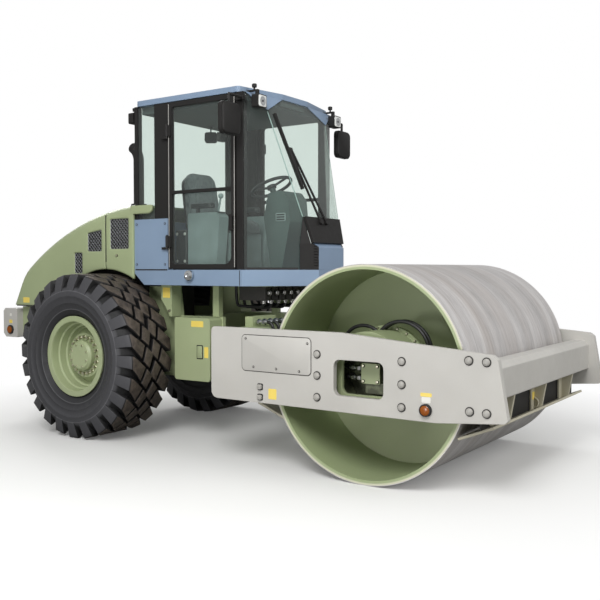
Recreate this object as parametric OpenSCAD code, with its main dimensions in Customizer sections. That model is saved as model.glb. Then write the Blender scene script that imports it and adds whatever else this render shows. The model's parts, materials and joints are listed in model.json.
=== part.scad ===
// Single drum soil roller: a smooth steel drum in a front frame, hinged to a rear frame with cab, hood and tyres.
// X points forward to the drum, Y to the driver's left and Z up. The ground is Z 0, sizes are in mm.

/* [Overall] */
// steering pivot to rear axle
pivot_to_axle = 1470; // [1400:5:1600]
// rear axle to the back of the bumper
rear_reach = 1570; // [1540:5:1700]

/* [Drum] */
// outer diameter of the drum
drum_d = 1600; // [1500:10:1640]
// width of the drum
drum_w = 2130; // [2100:10:2140]
// wall of the drum shell
drum_wall = 38; // [25:1:50]
// depth of the end disc behind the drum's edge
disc_depth = 665; // [600:5:700]
// thickness of an end disc
disc_t = 26; // [20:1:40]
// radius of the bearing hub in an end disc
hub_r = 190; // [160:5:200]
// length of the bearing hub
hub_w = 120; // [80:5:140]
// radius of the drum's journals
journal_r = 90; // [70:1:110]
// gap all round in a bearing
bearing_gap = 0.05; // [0.02:0.01:0.1]

/* [Front frame] */
// half width over the side plates
side_out = 1165; // [1150:5:1200]
// thickness of a side plate
side_t = 45; // [30:1:50]
// height of the side plates' top edge
side_top = 1106; // [1080:2:1140]
// height of the side plates' lower edge
side_low = 537; // [500:2:560]
// corner radius of the side plates
side_round = 34; // [10:2:60]
// width of the service window
window_w = 408; // [300:4:440]
// height of the service window
window_h = 261; // [200:3:290]
// corner radius of the service window
window_round = 48; // [20:2:70]
// depth of the front beam along X
beam_d = 140; // [100:5:150]
// height of the front beam
beam_h = 250; // [200:5:260]
// room between the drum and the front beam
front_gap = 60; // [50:2:80]
// side plate tips ahead of the front beam
tip_len = 115; // [90:5:140]
// height of the front beam's top
beam_top = 945; // [920:5:960]
// room between the drum and the rear beam
rear_gap = 280; // [270:5:320]
// depth of the rear beam along X
rear_beam_d = 250; // [200:5:300]
// length of a rubber buffer
buffer_len = 75; // [70:1:90]
// radius of a rubber buffer
buffer_r = 62; // [40:2:70]
// radius of the drive housing
drive_r = 310; // [280:5:320]
// gap between a scraper blade and the drum
scraper_gap = 8; // [5:1:15]

/* [Steering joint] */
// steering pivot behind the rear beam
pivot_reach = 230; // [220:5:260]
// radius of the steering pin
pivot_r = 60; // [45:1:70]
// gap all round the steering pin
pivot_gap = 0.05; // [0.02:0.01:0.1]
// radius of the rounded lugs
lug_r = 130; // [110:5:140]
// thickness of a yoke lug
lug_t = 70; // [50:5:80]
// half width of the rear tongue
tongue_half = 130; // [110:5:135]
// steering cylinder pins to the side of the middle
ram_side = 240; // [235:1:250]
// front ram pins ahead of the pivot
ram_front = 110; // [100:5:115]
// rear ram pins behind the pivot
ram_rear = 600; // [590:5:610]
// radius of a ram barrel
ram_r = 46; // [36:1:50]
// radius of a ram rod
rod_r = 26; // [18:1:30]

/* [Rear frame] */
// inner face of a frame rail from the middle
rail_in = 430; // [420:5:435]
// thickness of a frame rail
rail_t = 40; // [25:1:45]
// outer face of a side tank from the middle
tank_out = 640; // [600:5:650]
// half width of the bumper
bumper_half = 715; // [680:5:740]
// depth of the bumper along X
bumper_d = 225; // [180:5:230]
// height of the bumper's lower edge
bumper_low = 846; // [800:2:880]
// height of the bumper's top
bumper_top = 1150; // [1100:2:1160]

/* [Wheels] */
// outer diameter of a tyre
tyre_d = 1520; // [1440:10:1540]
// width of a tyre
tyre_w = 604; // [520:2:606]
// outer faces of the tyres from the middle
tyre_out = 1171; // [1150:1:1180]
// number of lugs on each shoulder
lugs = 24; // [20:1:24]
// height of the lugs
lug_h = 46; // [30:1:55]
// radius of the bead seat
bead_r = 330; // [300:5:340]
// radius of the rim flange
flange_r = 372; // [350:2:390]
// radius of the axle spindle
spindle_r = 75; // [55:1:85]

/* [Cab] */
// half width of the cab
cab_half = 700; // [680:5:710]
// rear of the cab ahead of the rear axle
cab_back_gap = 370; // [360:5:380]
// cab length from the rear to the front posts
cab_len = 1270; // [1240:5:1290]
// windscreen foot ahead of the front posts
nose_len = 455; // [430:5:470]
// underside of the cab
cab_low = 1416; // [1400:2:1430]
// top of the sill
sill_top = 1556; // [1540:2:1570]
// top of the side panels behind the doors
panel_top = 2020; // [1980:5:2060]
// top of the roof
roof_top = 3125; // [3100:5:3160]
// thickness of the roof
roof_t = 65; // [50:1:75]
// thickness of the glass
glass_t = 12; // [6:1:16]
// thickness of a door
door_t = 36; // [28:1:40]
// width of the door frame's bars
door_bar = 42; // [36:2:70]
// gap round a door
door_gap = 8; // [6:1:10]
// lean of the windscreen in degrees
screen_lean = 15.5; // [12:0.5:18]

/* [Hood] */
// half width of the hood
hood_half = 720; // [715:1:740]
// wall of the hood
hood_wall = 28; // [15:1:40]
// radius of the hood's top curve
hood_r = 2930; // [2800:10:3000]
// middle of the hood's top curve ahead of the rear axle
hood_mid = 595; // [580:5:610]
// highest line of the hood
hood_top = 2177; // [2150:1:2200]
// radius of the hood's shoulders
hood_round = 90; // [50:5:120]
// lower edge of the hood
hood_low = 1189; // [1180:1:1220]
// hood's rear edge ahead of the bumper's back
hood_setback = 210; // [200:5:230]
// width of the rear grille
rear_grille_w = 1000; // [800:10:1100]
// height of the rear grille up the slope
rear_grille_h = 300; // [280:5:310]
// gap between hood and shroud
hood_gap = 8; // [6:1:15]
// gap round the tyre in the wheel arch
arch_gap = 42; // [30:1:60]
// radius of the exhaust stack
stack_r = 50; // [35:1:60]
// height at which the exhaust bends back
stack_top = 2610; // [2500:10:2700]

/* [Hidden] */
$fn = 96;

// the length fixes the origin in the middle of the box
drum_r = drum_d / 2;
beam_front = drum_r + front_gap + beam_d;
front_reach = beam_front + tip_len;
beam_back = drum_r + rear_gap + rear_beam_d;
side_back = beam_back + 10;
pivot_back = beam_back + pivot_reach;
wheelbase = pivot_back + pivot_to_axle;
length = front_reach + wheelbase + rear_reach;
xd = length / 2 - front_reach;
xa = xd - wheelbase;
xp = xd - pivot_back;
tyre_r = tyre_d / 2;
side_in = side_out - side_t;
disc_y = drum_w / 2 - disc_depth;
tyre_in = tyre_out - tyre_w;
rail_out = rail_in + rail_t;
cab_back = xa + cab_back_gap;
cab_front = cab_back + cab_len;
roof_low = roof_top - roof_t;
hood_x0 = xa + hood_mid;
hood_z0 = hood_top - hood_r;
seam = xa - 6;
// the hood's rear edge, and the height of its inside at x
tail = xa - rear_reach + hood_setback;
function hood_inside(x) = hood_z0 + sqrt(pow(hood_r - hood_wall, 2) - pow(x - hood_x0, 2));
arch_r = tyre_r + arch_gap;
// the door lies between the front post and the middle post
post_w = 68;
door_back = cab_back + 430;
door_front = cab_front - post_w - door_gap;
door_low = sill_top + door_gap;
door_top = roof_low - door_gap;
hinge_x = door_back - 6;
hinge_y = cab_half + 16;
hood_hinge_x = seam + hood_gap / 2;
hood_hinge_z = 2136;
// the openings of a door below and above its middle bar
function door_pane(z0, z1, r) = rounded([[door_back + door_bar, z0], [door_front - door_bar, z0], [door_front - door_bar, z1],
  [door_back + door_bar, z1]], r);
door_panes = [door_pane(door_low + door_bar, 2236, [30, 70, 12, 12]), door_pane(2264, door_top - door_bar, [12, 12, 30, 30])];
wheel_at = [cab_front - 200, 0, 2320];
lamp_deep = 24;
ram_z = 820;
knuckle_low = 668;
knuckle_top = 982;
// the drive cup: its back, its floor, and the motor in it
cup_back = side_in - buffer_len - 345;
cup_floor = cup_back + 115;
motor_x = -54;
motor_y = side_in - buffer_len - 45;
motor_union = [764, 835];
// oil lines, with the manifold on the rear beam and the port below it
hose_r = 14;
union_len = 120;
manifold_x = beam_back - 90;
manifold_y = 420;
manifold_z = knuckle_top + lug_t + 28 + 42;
port_z = 830;
scraper_turn = 28;
hanger_at = [-690, 0, 690];
// corners of the cab's wedge front in plan, from the angled pane to the nose, and the nose's top
wedge = [[335, 320.3], [417, 243], [nose_len, 205]];
cheek_t = 14;
nose_top = 1784;

function unit(v) = v / norm(v);
// points of a round corner at b between a and c
function corner(a, b, c, r, n = 5) =
  let (u = unit(a - b), v = unit(c - b), h = acos(u * v) / 2)
  let (m = b + unit(u + v) * r / sin(h), p = b + u * r / tan(h) - m, q = b + v * r / tan(h) - m)
  let (a0 = atan2(p.y, p.x), d = atan2(q.y, q.x) - a0)
  let (turn = d > 180 ? d - 360 : d < -180 ? d + 360 : d)
  [for (i = [0 : n]) m + r * [cos(a0 + turn * i / n), sin(a0 + turn * i / n)]];
// a polygon with each corner rounded by its own radius
function rounded(p, r) =
  [for (i = [0 : len(p) - 1])
    let (k = is_list(r) ? r[i] : r)
    each k > 0 ? corner(p[(i + len(p) - 1) % len(p)], p[i], p[(i + 1) % len(p)], k) : [p[i]]];
function box_points(w, h) = [[-w / 2, -h / 2], [w / 2, -h / 2], [w / 2, h / 2], [-w / 2, h / 2]];

module block(x0, x1, y0, y1, z0, z1) {
  translate([x0, y0, z0]) cube([x1 - x0, y1 - y0, z1 - z0]);
}
// a side view drawn in X and Z, pulled from y0 to y1
module side_view(p, y0, y1) {
  translate([0, y1, 0]) rotate([90, 0, 0]) linear_extrude(y1 - y0) polygon(p);
}
// a round piece along Y from y0 to y1
module rod_y(x, z, r, y0, y1) {
  translate([x, y0, z]) rotate([-90, 0, 0]) cylinder(r = r, h = y1 - y0);
}
module rod_z(x, y, r, z0, z1) {
  translate([x, y, z0]) cylinder(r = r, h = z1 - z0);
}
module both_sides() {
  children();
  mirror([0, 1, 0]) children();
}
// a turned piece about the Y axis, drawn as radius and Y
module turned(x, z, p) {
  translate([x, 0, z]) rotate([-90, 0, 0]) rotate_extrude() polygon(p);
}

module drum_shell() {
  r1 = drum_r - drum_wall;
  h = drum_w / 2;
  color("DarkGray") turned(xd, drum_r, [[r1, -h], [drum_r, -h], [drum_r, h], [r1, h]]);
}

module drum_end() {
  r1 = drum_r - drum_wall - 0.1;
  b = journal_r + bearing_gap;
  y0 = disc_y - disc_t / 2 - hub_w / 2;
  y1 = y0 + hub_w;
  y2 = disc_y - disc_t;
  turned(xd, drum_r, [[b, y0], [hub_r, y0], [hub_r, y2], [r1, y2], [r1, disc_y], [hub_r, disc_y], [hub_r, y1], [b, y1]]);
}
module drum_ends() {
  color("OliveDrab") both_sides() drum_end();
}

module side_plate() {
  outline = [[-side_back, side_low], [beam_front - 387, side_low - 6], [front_reach - 23, 572], [front_reach, 592],
    [beam_front + 46, beam_top + 39], [beam_front + 8, beam_top + 65], [-140, side_top], [-side_back, side_top]];
  bend = [60, 0, 12, 14, 20, 30, 0, side_round];
  window = rounded(box_points(window_w, window_h), window_round);
  difference() {
    translate([xd, 0, 0]) side_view(rounded(outline, bend), side_in, side_out);
    translate([xd + 14, 0, 780]) side_view(window, side_in - 1, side_out + 1);
  }
}
module side_plate_left() {
  color("Silver") side_plate();
}
module side_plate_right() {
  color("Silver") mirror([0, 1, 0]) side_plate();
}

module front_beam() {
  x1 = xd + beam_front;
  color("Silver") side_view(rounded([[x1 - beam_d, beam_top - beam_h], [x1, beam_top - beam_h], [x1, beam_top - 40],
    [x1 - 36, beam_top], [x1 - beam_d, beam_top]],
    [12, 12, 14, 14, 12]), -side_in, side_in);
}

// a lug in plan, from the rear beam to a round end at the pivot
module lug_plan(r, half) {
  x1 = xd - beam_back + 40;
  polygon([[x1, half], [xp + r * 0.35, r * 0.937], [xp + r * 0.35, -r * 0.937], [x1, -half]]);
  translate([xp, 0]) circle(r);
}
module rear_beam() {
  x0 = xd - beam_back;
  up = knuckle_top + 8;
  low = knuckle_low - 8;
  color("OliveDrab") difference() {
    union() {
      block(x0, x0 + rear_beam_d, -side_in, side_in, low - lug_t - 30, up + lug_t + 20);
      both_sides() {
        block(x0 + 10, xd - manifold_x, manifold_y, manifold_y + 330, up + lug_t + 19, up + lug_t + 105);
        block(x0 + rear_beam_d - 1, x0 + rear_beam_d + 60, manifold_y, manifold_y + 330, port_z - 50, port_z);
      }
      translate([0, 0, up]) linear_extrude(lug_t) lug_plan(lug_r, 260);
      translate([0, 0, low - lug_t]) linear_extrude(lug_t) lug_plan(lug_r, 260);
      both_sides() for (z = [ram_z - 65, ram_z + 40]) {
        translate([xp + ram_front, ram_side, z]) cylinder(r = 62, h = 25);
        block(xp + ram_front, x0 + 40, ram_side - 62, ram_side + 62, z, z + 25);
      }
    }
    rod_z(xp, 0, pivot_r + pivot_gap, low - lug_t - 1, up + lug_t + 1);
  }
}
module pivot_pin() {
  top = knuckle_top + 8 + lug_t;
  low = knuckle_low - 8 - lug_t;
  color("DimGray") {
    rod_z(xp, 0, pivot_r, low, top);
    rod_z(xp, 0, pivot_r + 25, top, top + 24);
    rod_z(xp, 0, pivot_r + 25, low - 24, low);
  }
}

// the drive carrier hangs from the side plate on rubber: a cup with the motor in it, and a journal in the drum
module carrier() {
  y1 = side_in - buffer_len;
  hub_out = disc_y - disc_t / 2 + hub_w / 2;
  translate([xd, 0, 0]) difference() {
    union() {
      translate([14, 0, 780]) side_view(rounded(box_points(830, 430), 70), y1 - 30, y1);
      rod_y(0, drum_r, drive_r, cup_back, y1 - 30);
      rod_y(0, drum_r, drive_r + 30, cup_back - 40, cup_back);
      rod_y(0, drum_r, 200, hub_out + 15, cup_back - 40);
      rod_y(0, drum_r, journal_r, disc_y - disc_t - hub_w / 2, hub_out + 15);
    }
    rod_y(0, drum_r, drive_r - 45, cup_floor, y1 - 30);
    translate([14, 0, 780]) side_view(rounded(box_points(window_w, window_h), window_round), y1 - 31, y1 + 1);
  }
  // the motor in the cup, a square head on a lower body
  translate([xd, 0, 0]) {
    side_view(rounded([[motor_x, 729], [99, 729], [99, 878], [motor_x, 878]], 12), cup_floor - 1, motor_y);
    side_view(rounded([[motor_x + 24, 655], [131, 655], [131, 735], [motor_x + 24, 735]], 12), cup_floor - 1, motor_y - 20);
  }
}
module carrier_left() {
  color("OliveDrab") carrier();
}
module carrier_right() {
  color("OliveDrab") mirror([0, 1, 0]) carrier();
}
module buffers() {
  color("Black") both_sides() for (x = [-331, 360], z = [622, 782, 942]) {
    rod_y(xd + x, z, buffer_r * (z == 782 ? 1 : 0.8), side_in - buffer_len, side_in);
  }
}

// oil lines: steel unions on the motor and on the beam's manifold
module union_x(x, y, z, long) {
  translate([x, y, z]) rotate([0, 90, 0]) {
    cylinder(r = hose_r - 1, h = long);
    translate([0, 0, long * 0.2]) cylinder(r = hose_r + 9, h = 22, $fn = 6);
    translate([0, 0, long * 0.62]) cylinder(r = hose_r + 12, h = 26, $fn = 6);
  }
}
module fittings() {
  color("Silver") both_sides() {
    for (k = [0, 1]) union_x(xd + motor_x - union_len, motor_y - 45, motor_union[k], union_len);
    for (k = [0 : 3]) union_x(xd - manifold_x, manifold_y + 45 + 80 * k, manifold_z, union_len);
  }
}
// a hose that arches over the drive cup, its ends cut to the cup's round wall
module hose_arch(x, z, r, y) {
  difference() {
    translate([xd + x, y, z]) rotate([90, 0, 0]) rotate_extrude() translate([r, 0]) circle(r = hose_r, $fn = 24);
    rod_y(xd, drum_r, drive_r + 0.3, y - 40, y + 40);
  }
}
// a quarter bend in plan or side view, from its start at the origin along X, turning to -Y
module quarter_bend(r) {
  translate([0, -r, 0]) rotate_extrude(angle = 90) translate([r, 0]) circle(r = hose_r, $fn = 24);
}
module hoses() {
  bend = 50;
  x1 = xd + motor_x - union_len;
  x2 = xd - manifold_x + union_len;
  color("Black") both_sides() {
    for (k = [0, 1]) translate([x1, motor_y - 45, motor_union[k]]) {
      mirror([1, 0, 0]) quarter_bend(bend);
      rod_y(-bend, 0, hose_r, cup_floor - motor_y + 45, -bend);
    }
    hose_arch(160, 952, 226, cup_back + 40);
    hose_arch(160, 952, 226, cup_back + 85);
    hose_arch(-170, 945, 190, cup_back + 60);
    for (k = [0 : 3]) translate([x2, manifold_y + 45 + 80 * k, manifold_z]) {
      rotate([90, 0, 0]) quarter_bend(60);
      rod_z(60, 0, hose_r, port_z - manifold_z, -60);
    }
  }
}

// a scraper: one bent blade on tapered angle hangers, whose tops lie between x_in and x_top at the height up
module scraper(s, x_top, x_in, up) {
  r = drum_r + scraper_gap;
  xt = r * cos(scraper_turn);
  zt = drum_r - r * sin(scraper_turn);
  foot = drum_r + 172;
  translate([xd, 0, 0]) {
    side_view([[s * xt, zt], [s * (xt + 10), zt - 16], [s * foot, zt + 82], [s * (foot - 6), zt + 99]], -1035, 1035);
    for (y = hanger_at) {
      side_view([[s * x_top, up], [s * x_in, up], [s * (foot - 84), zt + 66], [s * (foot - 14), zt + 92]], y - 12, y + 12);
      side_view([[s * (x_in + 14), up], [s * x_in, up], [s * (foot - 84), zt + 66], [s * (foot - 70), zt + 70]], y - 80, y);
    }
    // the rear hangers reach back to the beam
    if (s < 0) for (y = hanger_at) {
      block(-x_top, -foot + 37, y - 12, y + 12, up - 54, up + 20);
    }
  }
}
module scrapers() {
  rear = drum_r + rear_gap;
  color("Silver") {
    scraper(1, beam_front - 10, beam_front - beam_d + 27, beam_top - beam_h);
    scraper(-1, rear, rear - 84, drum_r - (drum_r + scraper_gap) * sin(scraper_turn) + 199);
  }
}
// a rubber sheet closes the room between the front beam and the blade
module scraper_sheet() {
  x0 = beam_front - beam_d + 14;
  zt = drum_r - (drum_r + scraper_gap) * sin(scraper_turn);
  color("Black") translate([xd, 0, 0]) side_view([[x0, beam_top - beam_h], [x0 + 8, beam_top - beam_h], [x0 + 8, zt + 67], [x0, zt + 64]],
    -1035, 1035);
}
// lamps at the bumper's ends and in pockets of its back
module rear_lamps() {
  x0 = xa - rear_reach;
  color("Orange") both_sides() {
    rod_y(x0 + 120, 925, 36, bumper_half, bumper_half + 22);
    lamp_pocket(x0 + 6, x0 + lamp_deep, 0.2);
  }
}
// a lamp's outline on the bumper's back, d smaller all round
module lamp_pocket(x0, x1, d) {
  translate([x0, bumper_half - 170, (bumper_low + bumper_top) / 2 + 20]) rotate([90, 0, 90]) linear_extrude(x1 - x0)
    polygon(rounded(box_points(240 - 2 * d, 90 - 2 * d), 12));
}
module side_lamps() {
  color("Orange") both_sides() rod_y(xd + 544, 612, 45, side_out, side_out + 26);
}

// a steering ram barrel with its rear eye, pointing forward along X
module ram_barrel(s) {
  translate([xp - ram_rear, s * ram_side, ram_z]) difference() {
    union() {
      translate([0, 0, -30]) cylinder(r = 44, h = 60);
      rotate([0, 90, 0]) cylinder(r = 28, h = 80);
      translate([66, 0, 0]) rotate([0, 90, 0]) cylinder(r = ram_r, h = 424);
    }
    translate([0, 0, -60]) cylinder(r = 22 + pivot_gap, h = 120);
    translate([86, 0, 0]) rotate([0, 90, 0]) cylinder(r = rod_r + 0.2, h = 440);
  }
}
module ram_rod(s) {
  translate([xp + ram_front, s * ram_side, ram_z]) {
    translate([0, 0, -30]) cylinder(r = 45, h = 60);
    translate([-(ram_rear + ram_front) + 235, 0, 0]) rotate([0, 90, 0]) cylinder(r = rod_r, h = ram_rear + ram_front - 240);
  }
}
module ram_barrel_right() {
  color("DimGray") ram_barrel(-1);
}
module ram_barrel_left() {
  color("DimGray") ram_barrel(1);
}
module ram_rod_right() {
  color("Silver") ram_rod(-1);
}
module ram_rod_left() {
  color("Silver") ram_rod(1);
}

module frame_rails() {
  x1 = xp - 230;
  x2 = xa + 740;
  x3 = xa + 335;
  x4 = xa - rear_reach + bumper_d;
  outline = [[x1, 560], [x1, 1130], [x2, 1130], [x2 - 30, 1400], [x3, 1400], [x3 - 20, 1175], [x4, 1175], [x4, 880],
    [xa - 380, 880], [xa - 230, 905], [xa + 230, 905], [xa + 400, 560]];
  color("OliveDrab") both_sides() {
    side_view(outline, rail_in, rail_out);
    // closed boxes behind the tyres carry the hood's lower edge
    block(x4, xa - tyre_r - 70, rail_out - 1, 640, 880, 1170);
  }
}

// the tongue reaches from a cross wall between the rails to the steering pin
module tongue() {
  x0 = xp - ram_rear - 80;
  color("OliveDrab") difference() {
    union() {
      block(x0 - 60, x0, -rail_in, rail_in, 570, 1120);
      block(x0, xp, -tongue_half, tongue_half, knuckle_low, knuckle_top);
      rod_z(xp, 0, lug_r, knuckle_low, knuckle_top);
      both_sides() for (z = [ram_z - 65, ram_z + 40]) {
        translate([xp - ram_rear, ram_side, z]) cylinder(r = 58, h = 25);
        block(x0, xp - ram_rear, ram_side - 58, ram_side + 58, z, z + 25);
      }
      both_sides() rod_z(xp - ram_rear, ram_side, 22, ram_z - 80, ram_z + 80);
    }
    rod_z(xp, 0, pivot_r + pivot_gap, knuckle_low - 1, knuckle_top + 1);
  }
}

module tanks() {
  x1 = xp - 242;
  x0 = xa + tyre_r + 50;
  outline = rounded([[x0, 560], [x1, 560], [x1, 1126], [x0, 1126]], 26);
  color("OliveDrab") both_sides() side_view(outline, rail_out, tank_out);
}

module rear_axle() {
  color("DimGray") {
    rod_y(xa, tyre_r, 105, -580, 580);
    translate([xa, 0, tyre_r]) scale(1) sphere(r = 200);
    both_sides() {
      block(xa - 130, xa + 130, rail_in - 40, rail_out + 20, tyre_r, 905);
      rod_y(xa, tyre_r, 150, 575, 600);
      rod_y(xa, tyre_r, spindle_r, 600, 985);
    }
  }
}
// engine and cooler as plain blocks under the hood's curve
module engine() {
  rear = tail + 560;
  foot = tyre_r + 215;
  color("DimGray") {
    block(rear, xa + 150, -380, 380, foot + 30, hood_inside(rear) - 32);
    block(tail + 240, tail + 350, -560, 560, 1180, min(hood_inside(tail + 240) - 88, 1500));
    block(rear, xa + 150, -rail_in, rail_in, foot, foot + 40);
    block(tail + 240, rear + 20, -rail_in, rail_in, foot + 25, 1190);
  }
}
module bumper() {
  x0 = xa - rear_reach;
  outline = [[x0, bumper_low + 40], [x0 + 40, bumper_low], [x0 + bumper_d, bumper_low], [x0 + bumper_d, bumper_top],
    [x0 + 30, bumper_top], [x0, bumper_top - 30]];
  color("Silver") difference() {
    side_view(rounded(outline, 16), -bumper_half, bumper_half);
    both_sides() lamp_pocket(x0 - 1, x0 + lamp_deep, 0);
  }
}

// the hood's section swept round its top curve
module hood_sweep(drop, half, r, a0, a1) {
  h = hood_r - drop;
  section = rounded([[1400, -half], [h, -half], [h, half], [1400, half]], [0, r, r, 0]);
  translate([hood_x0, 0, hood_z0]) rotate([90, 0, 0]) rotate([0, 0, a0]) rotate_extrude(angle = a1 - a0, $fn = 180)
    polygon(section);
}
module hood_shell(a0, a1) {
  difference() {
    hood_sweep(0, hood_half, hood_round, a0, a1);
    hood_sweep(hood_wall, hood_half - hood_wall, hood_round - hood_wall, a0 - 1, a1 + 1);
  }
}
module arch_cut() {
  rod_y(xa, tyre_r, arch_r, -hood_half - 5, hood_half + 5);
}
// rear outline of the hood, moved in by d
function hood_back(d) = [[seam + 500, hood_low + d], [tail + d, hood_low + d], [tail + 165 + d, 1508], [tail + 320 + d, 1808],
  [tail + 320, 2400], [seam + 500, 2400]];
module hood() {
  color("OliveDrab") difference() {
    union() {
      intersection() {
        hood_sweep(0, hood_half, hood_round, 96, 140);
        side_view(hood_back(0), -hood_half - 5, hood_half + 5);
        block(tail - 340, seam, -hood_half - 5, hood_half + 5, 0, 2500);
      }
      both_sides() hood_leaf(360, 480, seam - 90, hood_hinge_x);
    }
    both_sides() rod_y(hood_hinge_x, hood_hinge_z, 8 + pivot_gap, 350, 490);
    intersection() {
      hood_sweep(hood_wall, hood_half - hood_wall, hood_round - hood_wall, 95, 141);
      side_view([[seam + 600, hood_low - 90], [tail + 32 - 47, hood_low - 90], [tail + 32, hood_low], [tail + 197, 1508],
        [tail + 352, 1808], [tail + 352, 2400], [seam + 600, 2400]], -hood_half, hood_half);
    }
    arch_cut();
    both_sides() side_view(grille_b(0), hood_half - hood_wall - 20, hood_half + 5);
    both_sides() side_view(grille_c(0), hood_half - hood_wall - 20, hood_half + 5);
    rear_wall_frame() translate([-rear_grille_w / 2, 20, -60]) cube([rear_grille_w, rear_grille_h, 80]);
  }
}
// one leaf of a hood hinge: a barrel and a strap on the skin behind or ahead of it
module hood_leaf(y0, y1, x0, x1) {
  rod_y(hood_hinge_x, hood_hinge_z, 16, y0, y1);
  block(x0, x1, y0, y1, hood_hinge_z - 42, hood_hinge_z - 8);
}
// height on the hood's side at x: 0 at the wheel arch, 1 where the shoulder starts
function on_side(x, t) =
  let (low = tyre_r + sqrt(arch_r * arch_r - pow(x - xa, 2)))
  let (high = hood_z0 + sqrt(hood_r * hood_r - pow(x - hood_x0, 2)) - hood_round)
  low + (high - low) * t;
// four corners of a grille from x0 to x1, d smaller all round
function grille(x0, x1, t0, t1, tilt, d) =
  let (z0 = on_side(x0, t0), z1 = on_side(x0, t1))
  rounded([[x0 + d, z0 + d], [x1 - d, z0 + d], [x1 - d, z1 + tilt - d], [x0 + d, z1 - d]], 14);
function grille_a(d) = grille(xa + 63, xa + 312, 0.402, 0.995, 0, d);
function grille_b(d) = grille(xa - 250, xa - 52, 0.477, 0.881, 30, d);
function grille_c(d) = grille(xa - 440, xa - 325, 0.191, 0.623, 0, d);
// a plate with rows of diamond holes, drawn in X and Z
module mesh_plate(p, y0, y1) {
  pitch = 30;
  hole = 18;
  x0 = min([for (v = p) v.x]);
  z0 = min([for (v = p) v.y]);
  nx = floor((max([for (v = p) v.x]) - x0 - 20) / pitch);
  nz = floor((p[len(p) - 1].y - z0 - 16) / pitch);
  difference() {
    side_view(p, y0, y1);
    for (i = [0 : 1 : nx - 1], k = [0 : 1 : nz - 1]) {
      translate([x0 + 10 + (i + 0.5) * pitch, y0 - 1, z0 + 10 + (k + 0.5) * pitch]) rotate([-90, 0, 0]) rotate([0, 0, 45])
        translate([-hole / 2, -hole / 2, 0]) cube([hole, hole, y1 - y0 + 2]);
    }
  }
}
module hood_grilles() {
  y1 = hood_half - 12;
  color("Black") both_sides() {
    mesh_plate(grille_b(0.1), y1 - 8, y1);
    mesh_plate(grille_c(0.1), y1 - 8, y1);
  }
  // slats of the cooler's outlet in the rear wall
  color("Black") rear_wall_frame() {
    difference() {
      translate([-rear_grille_w / 2 + 0.1, 20.1, -20]) cube([rear_grille_w - 0.2, rear_grille_h - 0.2, 12]);
      for (k = [0 : 7]) translate([-rear_grille_w / 2 + 30, 45 + k * 32, -21]) cube([rear_grille_w - 60, 18, 14]);
    }
  }
}
// puts a piece drawn in Y and distance up the slope on the hood's rear wall, with its outer face at zero
module rear_wall_frame() {
  lean = atan2(165, 1508 - hood_low);
  translate([tail, 0, hood_low]) rotate([0, lean, 0]) rotate([90, 0, -90]) children();
}
module shroud() {
  x0 = seam + hood_gap;
  color("OliveDrab") difference() {
    union() {
      intersection() {
        hood_shell(90, 104);
        block(x0, cab_back, -hood_half - 5, hood_half + 5, 1300, 2500);
      }
      both_sides() {
        hood_leaf(322, 354, hood_hinge_x, hood_hinge_x + 70);
        hood_leaf(486, 518, hood_hinge_x, hood_hinge_x + 70);
        rod_y(hood_hinge_x, hood_hinge_z, 8, 330, 510);
      }
      // its shoulders reach forward beside the cab in two round-ended lips
      both_sides() side_view(rounded([[cab_back - 30, 2072], [cab_back + 240, 2072], [cab_back + 240, 2150], [cab_back - 30, 2150]],
        [0, 50, 16, 0]), cab_half - 4, hood_half);
    }
    arch_cut();
    both_sides() side_view(grille_a(0), hood_half - hood_wall - 20, hood_half + 5);
  }
}
module shroud_grilles() {
  y1 = hood_half - 12;
  color("Black") both_sides() mesh_plate(grille_a(0.1), y1 - 8, y1);
}
// the exhaust stack rises from the shroud and bends back at its top
module exhaust() {
  z0 = hood_top - 110;
  color("Black") difference() {
    translate([xa + 160, -430, 0]) difference() {
      union() {
        translate([0, 0, z0]) cylinder(r = stack_r, h = stack_top - z0);
        translate([0, 0, z0]) cylinder(r = stack_r + 25, h = 125);
        translate([-150, 0, stack_top]) rotate([90, 0, 0]) rotate_extrude(angle = 62) translate([150, 0]) circle(r = stack_r);
      }
      translate([-150, 0, stack_top]) rotate([90, 0, 0]) rotate([0, 0, 25]) rotate_extrude(angle = 40)
        translate([150, 0]) circle(r = stack_r - 6);
    }
    hood_sweep(-0.3, hood_half, hood_round, 90, 104);
  }
}

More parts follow.
